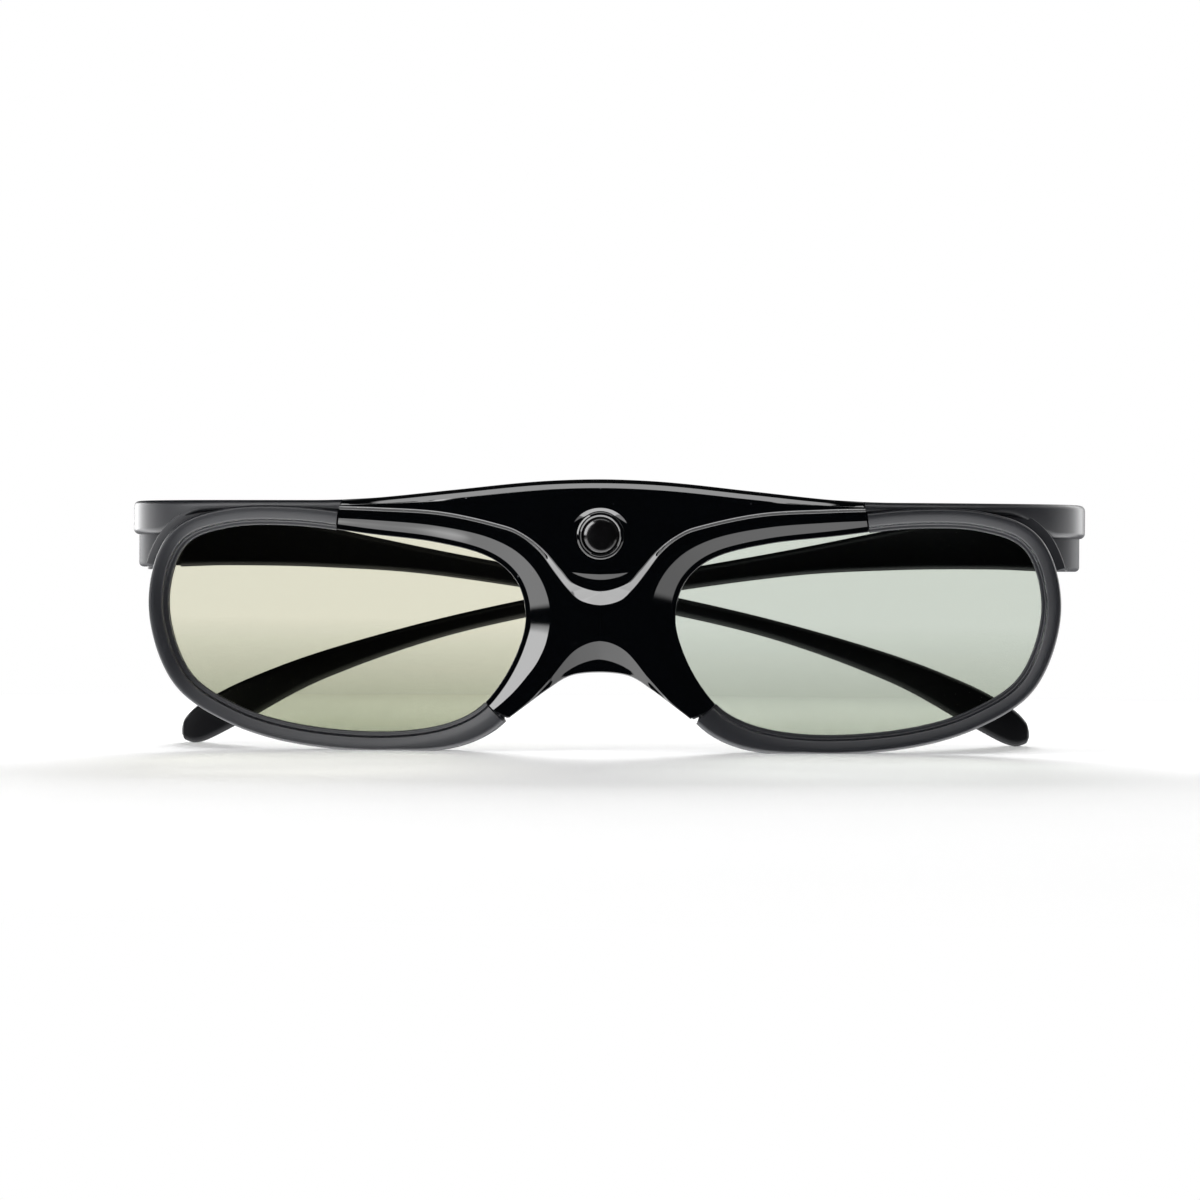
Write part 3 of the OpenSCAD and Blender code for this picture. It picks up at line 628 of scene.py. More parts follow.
open_t = np.linspace(seam_low, knots + seam_top, 170)
shut_t = np.linspace(seam_top + seam_step, seam_low - seam_step, 60)
open_part = [swept(rim_section, t, leg(t)) for t in open_t]
shut_part = [swept(recess_section, t, 1) for t in shut_t]
right_rim = net("right_rim", ringed(open_part + shut_part, looped=True))
left_rim = mirrored(right_rim, "left_rim")
print("rim", len(right_rim.data.vertices), "corners")

# %% [markdown]
# ## Brow wings and end blocks
# Outside the seam the brow runs on as a wing, which curves back to the hinge and ends in a block
# with a set-back lower half. A bar could be bent into this shape, but its thickness changes on the
# way. So both are sections set along two curves seen from above: the outer face and the inner face.

# %% Curves of wings and end blocks
brow_z = 48.2
brow_rise = 3.8
brow_run = 52
half_span = 86.4
end_height = 11.9
end_thick = 6.9
end_step = 1
end_top = brow_z - brow_rise
end_low = end_top - end_height
end_mid = end_top - 6
end_back = hinge_depth - 3
end_in = half_span - end_thick
wing_root = 44
wing_root_low = 42.2
drop_from = 0.4
drop_run = 0.25
wing_out = np.array([
    (wing_root, wrap(wing_root) + 0.9), (72, wrap(72) + 1.2), (half_span, 9), (half_span, end_back)])
wing_in = np.array([
    (wing_root, wrap(wing_root) + frame_depth - 0.3), (78, wrap(78) + frame_depth + 1.4), (end_in, 14),
    (end_in, end_back)])


def bezier(b, t):
    s = 1 - t
    return s ** 3 * b[0] + 3 * t * s ** 2 * b[1] + 3 * t * t * s * b[2] + t ** 3 * b[3]


def brow_top(x):
    return brow_z - brow_rise * (1 - math.cos(math.pi * min(abs(x) / brow_run, 1))) / 2


def wing_section(t, inset, low, high, radius):
    """A rounded box between the two faces. Without a height it reaches up to the brow."""
    p = bezier(wing_out, t)
    v = bezier(wing_in, t) - p
    wide = np.linalg.norm(v)
    v = v / wide
    top = brow_top(p[0]) if high is None else high
    return [(p[0] + v[0] * a, front_y + p[1] + v[1] * a, z)
            for a, z in rounded_box(inset, wide, low, top, radius)]


def wing_low(t):
    return mix_of(wing_root_low, end_mid, ease((t - drop_from) / drop_run))


print("end blocks from", round(end_low, 2), "to", round(end_top, 2), "mm")

# %% Cutters
pocket_slack = 0.5
past_frame = 12


def prism(name, u, near, far):
    """The lens outline, wider by u, as a solid between two depths."""
    ring = [rim_at(t, u) for t in np.linspace(0, knots, 120, endpoint=False)]
    rows = [[(p[0], front_y + d + wrap(p[0]), p[1]) for p in ring] for d in (near, far)]
    return net(name, ringed(rows, capped=True))


def block(name, centre, size):
    bpy.ops.object.select_all(action="DESELECT")
    bpy.ops.mesh.primitive_cube_add(size=1)
    piece = bpy.context.object
    piece.name = name
    edit(piece)
    bpy.ops.transform.resize(value=tuple(s * MM for s in size))
    bpy.ops.transform.translate(value=tuple(c * MM for c in centre))
    bpy.ops.object.mode_set(mode="OBJECT")
    return piece


def lens_pocket():
    return prism("pocket", pocket + pocket_slack, 1.5, past_frame)


print("cutter for the lens pockets", pocket + pocket_slack, "mm wider than the lens all round")

# %% Wings
seam_x = 46.4
wing_round = 1
wing_rows = [wing_section(t, 0, wing_low(t), None, wing_round) for t in np.linspace(0, 1, 70)]
wing = net("wing", ringed(wing_rows, capped=True))
seam_foot = rim_at(seam_top, 0)
seam_head = np.array([seam_x, brow_top(seam_x)])
seam_lean = math.atan2(*(seam_head - seam_foot))
room_deep = wrap(seam_foot[0]) + recess
# The wing makes room for the bridge cover inside the seam, which leans
room = block("room", (-6, room_deep / 2 - 1, 3), (12, room_deep + 2, 10))
edit(room)
bpy.ops.transform.rotate(value=-seam_lean, orient_axis="Y", center_override=(0, 0, 0))
bpy.ops.transform.translate(value=(seam_foot[0] * MM, front_y * MM, seam_foot[1] * MM))
bpy.ops.object.mode_set(mode="OBJECT")
cut(wing, room)
cut(wing, lens_pocket())
left_wing = mirrored(wing, "left_wing")
print("wing", len(wing.data.vertices), "corners")

# %% Lower halves of the end blocks, and webs to the rims
shoulder_round = 0.8
shoulder_top = end_mid + 1.5
shoulder_t = np.linspace(0.46, 1, 60)
shoulder_rows = [wing_section(t, end_step, end_low, shoulder_top, shoulder_round) for t in shoulder_t]
shoulder = net("shoulder", ringed(shoulder_rows, capped=True))
cut(shoulder, lens_pocket())
cut(shoulder, prism("rear_room", 3.85, frame_depth + 0.03, frame_depth + 3.15))
left_shoulder = mirrored(shoulder, "left_shoulder")
web_in = 2.8
web_out = 5.3
web_near = 3.3
web_far = frame_depth - 0.1
web_section = [(web_in, web_near), (web_out, web_near), (web_out, web_far), (web_in, web_far)]
web_ring = rounded_ring(web_section, 0.2)
web_rows = [[front(rim_at(t, u), d) for u, d in web_ring] for t in np.linspace(0.55, 1.7, 40)]
web = net("web", ringed(web_rows, capped=True))
left_web = mirrored(web, "left_web")
print("shoulder", len(shoulder.data.vertices), "web", len(web.data.vertices), "corners")

# %% [markdown]
# Each end block has a fitting in its underside: the charging socket on the right, the button and
# a pilot light on the left. The fittings could be laid on the surface, but the real ones sit in
# holes. So their openings are cut out, and the fittings can be seen from below.

# %% Openings for the fittings
port_x = half_span - 4.7
port_y = 18.5
port_below = 1
oval_round = 1.65


def slot_cutter(x, length, width, deep):
    low = end_low - port_below
    high = end_low + deep
    return block("slot", (x, front_y + port_y, (low + high) / 2), (width, length, high - low))


def upright(line):
    ends = [oval.data.vertices[i].co for i in line.vertices]
    return abs(ends[0].z - ends[1].z) > 1 * MM


cut(shoulder, slot_cutter(port_x, length=6.65, width=2.45, deep=5.05))
oval = slot_cutter(-port_x, length=6.6, width=3.4, deep=4)
pick(oval, "EDGE", upright)
bpy.ops.mesh.bevel(offset=oval_round * MM, segments=8, affect="EDGES")
leave()
cut(left_shoulder, oval)
opened = [len(piece.data.polygons) for piece in (shoulder, left_shoulder)]
print("end blocks with openings", opened, "faces")

# %% [markdown]
# ## Middle of the front
# Behind the bridge cover the two rims are one plate. Little of it shows: its edge above the brow
# and in the nose arch. A flat plate cut to shape would stand apart from the cover, so it follows
# the outline of the cover, which is drawn first, as a net. The net's rows follow one another along
# the lens edge from the upper seam to the lower one. Its columns go from the lens over bevel, valley
# and plateau to the outer edge: bevel and lip are given by their distance from the lens, the others
# by their places in the front view.

# %% Rows and columns of the bridge cover
row_t = [3.54, 4, 5, 6, 6.5, 7, 7.5, 8, 8.35, 8.7, 9, 9.2, 9.5, 10, 10.6]
last = len(row_t) - 1
row_brow = 4
row_arch = 10
plateau = -0.5
valley = 0.55
nose = 0.6
ridge_u = [2.2, 2.7, 3.1, 3.4, 3.7, 4, 4.4, 4.7, 4.6, 4.5, 4.3, 4.1, 3.6, 2.9, 2.1]
ridge_d = [0.5, 0.48, 0.44, 0.37, 0.33, 0.31, 0.3, 0.3, 0.32, 0.36, 0.4, 0.42, 0.45, 0.48, 0.5]
lip_d = [0.8, 0.91, 0.98, 0.99, 1.03, 1.09, 1.18, 1.26, 1.26, 1.27, 1.26, 1.22, 1.12, 0.96, 0.77]
valley_p = np.array([
    (47.3, 42.2), (41, 41.9), (29, 41), (18, 38.9), (14.4, 37.1), (11.1, 34.2), (9, 30.9),
    (7.2, 26.8), (6.2, 24.2), (6.6, 21.6), (7.4, 18.6), (8.9, 17), (11.5, 13.9), (14.9, 9.9),
    (18.2, 7.05)])
foot_p = np.array([
    (46.9, 43), (40.5, 42.75), (28.3, 42), (17.2, 39.6), (13.7, 38.05), (10.6, 35.4), (8, 31.9),
    (5.7, 29), (3.5, 27), (0, 26.2), (0, 20.8), (7.7, 17.5), (10.9, 14.1), (14.6, 9.75), (18, 6.95)])
step_p = np.array([
    (46.85, 43.3), (40.43, 43.15), (28.14, 42.38), (16.98, 39.96), (13.4, 38.35), (10.1, 35.8),
    (7.1, 32.4), (4.5, 29.8), (0, 28.6), (0, 26.2), (0, 20.4), (6.8, 17.9), (10.5, 14.3),
    (14.35, 9.65), (17.8, 6.85)])
flat_p = np.array([
    (46.75, 43.6), (40, 44), (27.2, 44.2), (14, 44), (6, 43.5), (4.6, 38.6), (3.4, 34), (0, 31.5),
    (0, 28.6), (0, 26.2), (0, 20.1), (6.1, 18.15), (10.2, 14.45), (14.15, 9.58), (17.6, 6.75)])
brow_x = [46.4, 39.5, 26, 11, 0]
brow_bevel = [0.75, 1.25, 1.5, 1.6, 1.6]
middle_z = [41, 34.5, 31.5, 28.6, 26.2]
arch_in = [(0, 19.9), (4.2, 18.4), (8.2, 13.9), (12.2, 9.5), (16.35, 6.2)]
arch_mid = [(0, 16.55), (4.6, 15.2), (8.4, 12.75), (12.5, 8.95), (16.32, 6.1)]
arch_out = [(0, 14.3), (5, 13.75), (9, 11.45), (12.9, 8.55), (16.3, 6)]


def outer_edge(share, arch):
    brow = [(x, brow_top(x) - b * share + land) for x, b in zip(brow_x, brow_bevel)]
    return np.array(brow + [(0, z) for z in middle_z] + arch)


edge_in = outer_edge(1, arch_in)
edge_mid = outer_edge(0.35, arch_mid)
edge_out = outer_edge(0, arch_out)
print("net rows:", last + 1)

# %% Depths of the columns
def depths(brow, arch):
    """One depth for each row: along the brow, down the middle to the nose, along the arch."""
    return brow + [plateau] * 4 + [nose] + arch


valley_d = [valley] * 7 + [nose] * 8
foot_d = [valley - 0.1] * 7 + [nose] * 8
step_down = [0.05] * 3 + [0.1] * 2 + [0.2] * 2 + [0] * 2
step_d = [plateau + d for d in step_down] + [nose] * 6
flat_d = [plateau] * 9 + [nose] * 6
edge_in_d = depths([plateau + 0.1] * 4 + [plateau], [nose] * 5)
edge_mid_d = depths([plateau + 0.5] * 5, [1.45, 1.25, 0.75, 0.66, 0.62])
edge_out_d = depths([1.5] * 5, [1.7, 1.35, 0.8, 0.68, 0.64])
print("plateau", plateau, "valley", valley, "nose", nose, "mm")

# %% Smooth lines through the rows
round_k = 0.1


def along(v, k):
    """A smooth line through the rows. One that meets the middle of the part meets it squarely."""
    v = np.asarray(v, float)
    i = min(int(k), last - 1)
    t = row_t[i]
    step = row_t[i + 1] - t
    plan = v.ndim > 1
    start = plan and v[i, 0] == 0
    end = plan and v[i + 1, 0] == 0
    before, t_before = 2 * v[i] - v[i + 1], t - step
    after, t_after = 2 * v[i + 1] - v[i], t + 2 * step
    if start and not end:
        before = v[i + 1] * (-1, 1)
    elif i and not start:
        before, t_before = v[i - 1], row_t[i - 1]
    if end and not start:
        after = v[i] * (-1, 1)
    elif i + 1 < last and not end:
        after, t_after = v[i + 2], row_t[i + 2]
    lean_a = (v[i + 1] - before) * step / (t + step - t_before)
    lean_b = (after - v[i]) * step / (t_after - t)
    q = k - i
    return (v[i] * (1 - q) ** 2 * (1 + 2 * q) + lean_a * q * (1 - q) ** 2
            + v[i + 1] * q * q * (3 - 2 * q) - lean_b * q * q * (1 - q))


def level(v, k):
    """A depth with straight slopes between the rows and small rounds at them."""
    low = row_arch if k >= row_arch else 0
    high = row_brow if k <= row_brow else last
    spots = np.clip(k + np.linspace(-round_k, round_k, 5), low, high)
    return np.interp(spots, range(last + 1), v).mean()


def fine_rows(first, final, per_row):
    """Every row and equal steps between them, from the first place to the final one."""
    steps = np.arange(1, last * per_row) / per_row
    return [first] + [k for k in steps if first + 0.02 < k < final - 0.02] + [final]


def drawn(v, d, k):
    """The point of a column at row k, from its places and its depths."""
    x, z = along(v, k)
    return front((x, z - land), level(d, k))


def on_rim(k, u, d):
    """The point at row k that lies u from the lens and d deep."""
    return front(rim_at(np.interp(k, range(last + 1), row_t), u), d)


print("rows are sampled", len(fine_rows(0, last, 14)), "times for the cover")

# %% Middle plate
plate_u = 2.6
plate_start = 0.12


def plate_row(k, inset, near, far):
    a = on_rim(k, plate_u, 0)
    c = drawn(edge_out, edge_out_d, k)
    inwards = np.array([a[0] - c[0], 0, a[2] - c[2]])
    if c[0] > 0.001:
        c = c + inwards * inset / np.linalg.norm(inwards)
    ring = [(a, near), ((a + c) / 2, near), (c, near), (c, far), ((a + c) / 2, far), (a, far)]
    return rounded_ring([front((p[0], p[2]), d) for p, d in ring], rim_round, 3)


def middle_plate(name, inset, near, far):
    rows = [plate_row(k, inset, near, far) for k in fine_rows(plate_start, last, 8)]
    right = net(name, ringed(rows, capped=True))
    return [right, mirrored(right, name + "_left")]


plate = middle_plate("plate", 0.2, recess + 0.04, frame_depth - 0.05)
rims = [right_rim, left_rim]
wings = [wing, left_wing, shoulder, left_shoulder, web, left_web]
front_moulding = joined("front_moulding", rims + wings + plate)
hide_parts("front_frame")
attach(front_moulding, "front")

# %% [markdown]
# ## Bridge cover
# The gloss cover is the sculpted piece: a bevel round the lens, a valley, then a plateau that
# carries the sensor and drops in a U to the nose. A block could be sculpted by hand, but a gloss
# face shows every dent, so the net of drawn lines makes it. Its rows are sampled closely and every
# crease gets its own small radius, because a gloss edge shows its radius as a thin light line.
# A row is rounded as if the front were straight, and swept back afterwards, which keeps flat areas
# free of waves. One half is modelled and a Mirror modifier makes the other.

# %% Rows of the bridge cover
lens_gap = 0.15
lens_lip = 1.1
cover_back = 2.35
face_columns = [(valley_p, valley_d), (foot_p, foot_d), (step_p, step_d), (flat_p, flat_d)]
edge_columns = [(edge_in, edge_in_d), (edge_mid, edge_mid_d), (edge_out, edge_out_d)]
crease = [0.1, 0.1, 0.16, 0.45, 0.07, 0.2, 0.5, 0.14, 0.25, 0.2]


def cover_row(k):
    lip_at = along(lip_d, k)
    lens_side = [(lens_gap, cover_back), (lens_gap, lip_at), (lens_lip, lip_at)]
    lens_side += [(along(ridge_u, k), along(ridge_d, k))]
    edge = [drawn(v, d, k) for v, d in edge_columns]
    if row_brow < k < row_arch:
        edge = [edge[0]] * 3
    back = front((edge[2][0], edge[2][2]), cover_back)
    corners = [on_rim(k, u, d) for u, d in lens_side] + [drawn(v, d, k) for v, d in face_columns]
    corners = np.array(corners + edge + [back])
    corners[:, 1] -= [wrap(x) for x in corners[:, 0]]
    row = rounded_line(corners, crease)
    row[:, 1] += [wrap(x) for x in row[:, 0]]
    return row


def pushed_back(row):
    return np.array([front((p[0], p[2]), cover_back) for p in row])


# Near the upper and the lower seam, the outline runs so many millimetres for one unit of t
top_pace = 14
low_pace = 6.6
seam_gap = 0.16
first_k = (seam_step + seam_gap / top_pace) / (row_t[1] - row_t[0])
last_k = last - (seam_step + seam_gap / low_pace) / (row_t[-1] - row_t[-2])
cover_rows = [cover_row(k) for k in fine_rows(first_k, last_k, 14)]
cover_rows = [pushed_back(cover_rows[0])] + cover_rows + [pushed_back(cover_rows[-1])]
print("cover rows", len(cover_rows), "of", len(cover_rows[0]), "points")

# %% Bridge cover
middle_slack = 0.02 * MM


def in_middle(face):
    return all(abs(bridge_cover.data.vertices[i].co.x) < middle_slack for i in face.vertices)


bridge_cover = net("bridge_cover_gloss", cover_rows)
pick(bridge_cover, "FACE", in_middle)
bpy.ops.mesh.delete(type="FACE")
leave()
apply(bridge_cover, "MIRROR", use_axis=(True, False, False), merge_threshold=middle_slack)
edit(bridge_cover)
done(bridge_cover)
print("bridge cover", len(bridge_cover.data.polygons), "faces")

# %% [markdown]
# ## Sensor
# The sensor window sits in a ring, and the ring in a dish that is deep above the ring and runs
# out beside it. Bumps in the finish could hint at these, but would not catch the light at the right
# places. All of them are turned: a profile drawn as a few corners and spun round its axis. The dish
# is cut out of the cover with a turned cutter whose floor is slanted. The shallow scoop below it is
# a smile: a disc gives its lower edge, and a wide cone its upper edge and its floor.

# %% Turned pieces
turned_angle = 50


def turned(name, profile, centre_z, radius=0.12, steps=4, segments=96):
    """Spins a profile of (radius, depth) corners about an axis that points to the front."""
    line = rounded_line(profile, [radius] * (len(profile) - 2), steps)
    bpy.ops.object.select_all(action="DESELECT")
    bpy.ops.mesh.primitive_grid_add(x_subdivisions=len(line) - 1, y_subdivisions=1, size=1)
    piece = bpy.context.object
    piece.name = name
    pick(piece, "VERT", lambda corner: corner.co.y > 0)
    bpy.ops.mesh.delete(type="VERT")
    leave()
    for corner in piece.data.vertices:
        r, d = line[round((corner.co.x + 0.5) * (len(line) - 1))]
        corner.co = (r * MM, (front_y + d) * MM, centre_z * MM)
    edit(piece)
    axis = {"center": (0, 0, centre_z * MM), "axis": (0, 1, 0)}
    bpy.ops.mesh.spin(steps=segments, angle=2 * math.pi, **axis)
    bpy.ops.mesh.select_all(action="SELECT")
    return done(piece, turned_angle)


print("edges of turned pieces under", turned_angle, "degrees are shaded smooth")

# %% Scoop
ahead = -3
sharp = 0.01
fine_angle = 13
scoop_r = 9.2
scoop_low = 30.3
scoop_bow = 12.5
scoop_top = 31.4
scoop_slope = 16
cone_wide = 4
disc = [(0, ahead), (scoop_r, ahead), (scoop_r, 2), (0, 2)]
scoop = turned("scoop", disc, scoop_low + scoop_r, sharp, 4, 192)
cone_deep = plateau + cone_wide * math.tan(math.radians(scoop_slope))
cone_far = scoop_bow + cone_wide
cone_ring = [
    (scoop_bow, ahead), (cone_far, ahead), (cone_far, cone_deep), (scoop_bow, plateau),
    (scoop_bow, ahead)]
cone = turned("cone", cone_ring, scoop_top + scoop_bow, sharp, 2, 256)
carve(scoop, cone, "INTERSECT")
cut(bridge_cover, scoop, fine_angle)
print("scoop from", scoop_low, "to", scoop_top, "mm")

# %% Dish and well of the sensor
window_z = 38.2
ring_r = 4.3
well_r = ring_r + 0.03
dish_r = 6.2
dish_z = 36.9
dish_slope = 0.75
dish_depth = 0.47
dish_runout = 3
dish_floor = plateau + dish_depth
bowl = [
    (0, ahead), (dish_r + 2, ahead), (dish_r, plateau), (dish_r - dish_slope, dish_floor),
    (0, dish_floor)]
dish = turned("dish", bowl, dish_z, sharp, 2, 192)
for corner in dish.data.vertices:
    height = (corner.co.z / MM - dish_z + dish_r) / (2 * dish_r)
    floor_depth = corner.co.y / MM - front_y - plateau
    if floor_depth > 0:
        share = max(dish_runout * height - (dish_runout - 1), -0.05)
        corner.co.y = (front_y + plateau + floor_depth * share) * MM
cut(bridge_cover, dish, fine_angle)
well = turned("well", [(0, ahead), (well_r, ahead), (well_r, 4), (0, 4)], window_z, sharp)
cut(bridge_cover, well, fine_angle)
print("bridge cover with dish and well", len(bridge_cover.data.polygons), "faces")

# %% Ring and window of the sensor
window_r = 3.3
pane_r = window_r - 0.05
ring_back = 2.4
pane_back = 1.4
ring_line = [
    (window_r, ring_back), (window_r, plateau + 0.3), (window_r + 0.35, plateau),
    (ring_r - 0.1, plateau + 0.12), (ring_r, plateau + 0.35), (ring_r, ring_back)]
ring = turned("window_ring_gloss", ring_line, window_z)
pane_line = [
    (0, -0.08), (pane_r * 0.4, -0.04), (pane_r * 0.75, 0.08), (pane_r, 0.3), (pane_r, pane_back),
    (0, pane_back)]
pane = turned("sensor_pane", pane_line, window_z, 0.5)
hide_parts("bridge_cover")
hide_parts("window_ring")
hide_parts("sensor_window")
for piece, name in ((bridge_cover, "cover"), (ring, "ring"), (pane, "window")):
    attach(piece, "front")
print("ring", len(ring.data.polygons), "pane", len(pane.data.polygons), "faces")

# %% [markdown]
# ## Rear cover
# The rear cover mirrors the front from behind: a ring behind each rim, a plate between them, a
# strip behind the brow and a raised pack over the battery. It could be one more net, but nothing
# flows from one of these forms to the next, so each is made by itself and they are joined. The
# heads of the screws show in it.

# %% Rings of the rear cover
rear_near = frame_depth + 0.05
rear_far = rear_near + 3
pack_far = rear_near + 6.2
clamp = frame_depth + 0.2
rear_section = [
    (0.2, clamp), (pocket, clamp), (pocket + 0.05, rear_near), (rim_wide, rear_near),
    (rim_wide, rear_far - 1), (3, rear_far - 0.2), (2.2, rear_far), (1.2, rear_far - 0.2),
    (0.4, clamp + 1)]
rear_t = np.linspace(seam_low, seam_low + knots, 200, endpoint=False)
rear_rows = [swept(rear_section, t, leg(t)) for t in rear_t]
rear_ring = net("rear_ring", ringed(rear_rows, looped=True))
left_rear_ring = mirrored(rear_ring, "left_rear_ring")
print("rear ring", len(rear_ring.data.vertices), "corners")

# %% Strips, plate and pack of the rear cover
strip_from = 40
strip_to = 49.4
strip_low = 41.8
strip_under = 0.25
strip_round = 0.7
pack_low = 29.8
pack_high = 45.5
pack_wide = 26
pack_round = 1.6


def strip_row(x):
    box = rounded_box(rear_near, rear_far - 0.3, strip_low, brow_top(x) - strip_under, strip_round)
    return [(x, front_y + wrap(x) + d, z) for d, z in box]


strip_rows = [strip_row(x) for x in np.linspace(strip_from, strip_to, 12)]
strip = net("strip", ringed(strip_rows, capped=True))
cut(strip, prism("pocket", pocket, 0, past_frame))
left_strip = mirrored(strip, "left_strip")
rear_plate = middle_plate("rear_plate", 0.4, rear_near + 0.04, rear_far - 0.25)
pack_middle = (0, front_y + (rear_near + pack_far) / 2, (pack_low + pack_high) / 2)
pack = block("pack", pack_middle, (pack_wide, pack_far - rear_near, pack_high - pack_low))
apply(pack, "BEVEL", width=pack_round * MM, segments=6, limit_method="ANGLE")
smooth(pack)
rear_forms = [rear_ring, left_rear_ring, strip, left_strip, pack] + rear_plate
rear_moulding = joined("rear_moulding", rear_forms)
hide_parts("rear_cover")
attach(rear_moulding, "front")

# %% [markdown]
# ## Nose pads
# Soft pads sit on the rear cover, on both sides of the nose. Each is a long drop. A stretched sphere
# comes close, but has no flat side to sit on. So sections along its line swell in the middle and
# close to a point at both ends, and all have a flat foot.

# %% Nose pads
pad_low = np.array([17.4, 7])
pad_high = np.array([10.6, 16.8])
pad_half = 2
pad_tall = 4.6
pad_full = 0.8
pad_sunk = 0.3
pad_angle = 60


def pad_row(s):
    p = mix_of(pad_low, pad_high, s)
    run = pad_high - pad_low
    across = np.array([run[1], -run[0]]) / np.linalg.norm(run)
    swell = max(1 - (2 * s - 1) ** 2, 0) ** 0.5
    base = rear_far + wrap(p[0]) - pad_sunk
    row = []
    for a in np.linspace(0, 2 * math.pi, 40, endpoint=False):
        out = pad_half * swell * math.copysign(abs(math.cos(a)) ** pad_full, math.cos(a))
        tall = pad_tall * swell ** 0.7 * max(math.sin(a), 0) ** pad_full
        q = p + across * out
        row.append((q[0], front_y + base + tall, q[1]))
    return row


pad_rows = [pad_row(s) for s in np.linspace(0, 1, 40)]
right_pad = net("right_pad_soft", ringed(pad_rows, capped=True), pad_angle)
left_pad = mirrored(right_pad, "left_pad_soft", pad_angle)
for piece, side in ((right_pad, "right"), (left_pad, "left")):
    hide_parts(side + "_nose_pad")
    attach(piece, "front")
print("nose pads", len(right_pad.data.polygons), "faces each")

# %% [markdown]
# ## Temples
# A temple is a long bar: tall at the hinge, thin in the middle, and dropping to a flat rounded
# tip. It could be drawn where it lies, but its folded place is slanted and hard to measure. So it
# is drawn straight, with the hinge axis at zero, as sections along its length. A barrel with a bore
# joins it to the pin. Then it turns about the hinge to where it lies folded.

# %% Sections of a temple
temple_tip = 1.9
centre_z = (end_top + end_low) / 2
temple_h = 3.5
temple_t = 2.8
reach = 4.9
# Distance from the hinge, height of the middle, height of the bar, near and far side when folded
stations = np.array([
    (3, centre_z, end_height - 0.2, -2.3, reach),
    (13, centre_z - 0.3, 10.4, -2, reach - 0.1),
    (30, centre_z - 2, 7.4, -0.6, reach - 1),
    (50, centre_z - 4.6, temple_h + 1.2, 0.2, temple_t + 0.4),
    (80, centre_z - 9.5, temple_h + 0.1, 0, temple_t),
    (110, centre_z - 15.7, temple_h, -0.3, temple_t - 0.3),
    (134, centre_z - 23.1, temple_h + 1.7, -0.8, temple_t - 0.8),
    (149, centre_z - 29.8, temple_h + 4, -1.2, temple_tip),
    (157, centre_z - 33.9, temple_h + 3.8, -1.3, temple_tip),
    (160.2, centre_z - 35.2, temple_h + 1, -1.1, temple_tip - 0.2),
    (161, centre_z - 35.6, temple_h - 1.9, -0.5, temple_tip - 0.8)])


def station(k):
    i = min(int(k), len(stations) - 2)
    before = stations[i - 1] if i else 2 * stations[0] - stations[1]
    after = stations[i + 2] if i + 2 < len(stations) else 2 * stations[-1] - stations[-2]
    return curve(before, stations[i], stations[i + 1], after, k - i)


samples = [station(k) for k in np.linspace(0, len(stations) - 1, 121)]
sink = min(s[1] - s[2] / 2 for s in samples)
temple_round = 1.2
sink_run = 150


def temple_row(s):
    r = min(temple_round, s[2] * 0.4, (s[4] - s[3]) * 0.42)
    z = s[1] - sink * min(s[0] / sink_run, 1)
    return [(s[0], y, h) for y, h in rounded_box(s[3], s[4], z - s[2] / 2, z + s[2] / 2, r)]


print("temple", len(samples), "sections, moved by", round(-sink, 2), "mm in height at the tip")

# %% Temples
def tube(name, r, low, high):
    middle = (0, 0, (low + high) / 2 * MM)
    size = {"vertices": 48, "radius": r * MM, "depth": (high - low) * MM}
    bpy.ops.object.select_all(action="DESELECT")
    bpy.ops.mesh.primitive_cylinder_add(location=middle, **size)
    piece = bpy.context.object
    piece.name = name
    bpy.ops.object.transform_apply(location=True, rotation=True, scale=True)
    return piece


lug_low = end_low + 0.8
lug_top = end_top - 0.8
barrel_low = lug_low + 2.7
barrel_top = lug_top - 2.7
barrel_tall = barrel_top - barrel_low
barrel_r = 2.4
bore_r = 0.95
hinge_round = 0.25


def temple(name, side, angle):
    arm = net(name, ringed([temple_row(s) for s in samples], capped=True))
    tab = block("tab", (0.5, 3.5, centre_z), (6.2, 2.2, end_height - 0.6))
    rib = block("rib", (1.8, 0.05, (barrel_low + barrel_top) / 2), (3.6, 4.4, barrel_tall))
    barrel = tube("barrel", barrel_r, barrel_low, barrel_top)
    for piece in (tab, rib, barrel):
        apply(piece, "BEVEL", width=hinge_round * MM, segments=3, limit_method="ANGLE")
    for piece in (tab, rib, barrel):
        cut(piece, tube("bore", bore_r, 20, 60))
    arm = joined(name, [arm, tab, rib, barrel])
    edit(arm)
    bpy.ops.transform.rotate(value=-angle, orient_axis="Z", center_override=(0, 0, 0))
    bpy.ops.transform.translate(value=(-hinge.x * MM, hinge.y * MM, 0))
    bpy.ops.object.mode_set(mode="OBJECT")
    if side == "right":
        edit(arm)
        bpy.ops.transform.resize(value=(-1, 1, 1), center_override=(0, 0, 0))
        bpy.ops.mesh.normals_make_consistent(inside=False)
        bpy.ops.object.mode_set(mode="OBJECT")
    smooth(arm)
    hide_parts(side + "_temple")
    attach(arm, side + "_arm")
    return arm


left_arm = temple("left_temple_bar", "left", math.radians(8))
right_arm = temple("right_temple_bar", "right", math.radians(3))
for arm, side in ((left_arm, "left"), (right_arm, "right")):
    low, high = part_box(side + "_temple")
    spots = np.array([v.co for v in arm.data.vertices])
    off = np.abs([spots.min(0) - low, spots.max(0) - high]).max()
    print(side, "temple's box off by", round(off * 1000, 3), "mm")

# %% [markdown]
# ## Satin black
# Rims, wings, rear cover and temples are satin black plastic, straight from the mould. One grey
# with one roughness would do from far away, but looks like paper close up. So noise gives it the
# small unevenness of the real one: a fine grain from the mould and faint flow marks. The set-back
# lower halves of the end blocks are duller than the rest, and the temples darker.

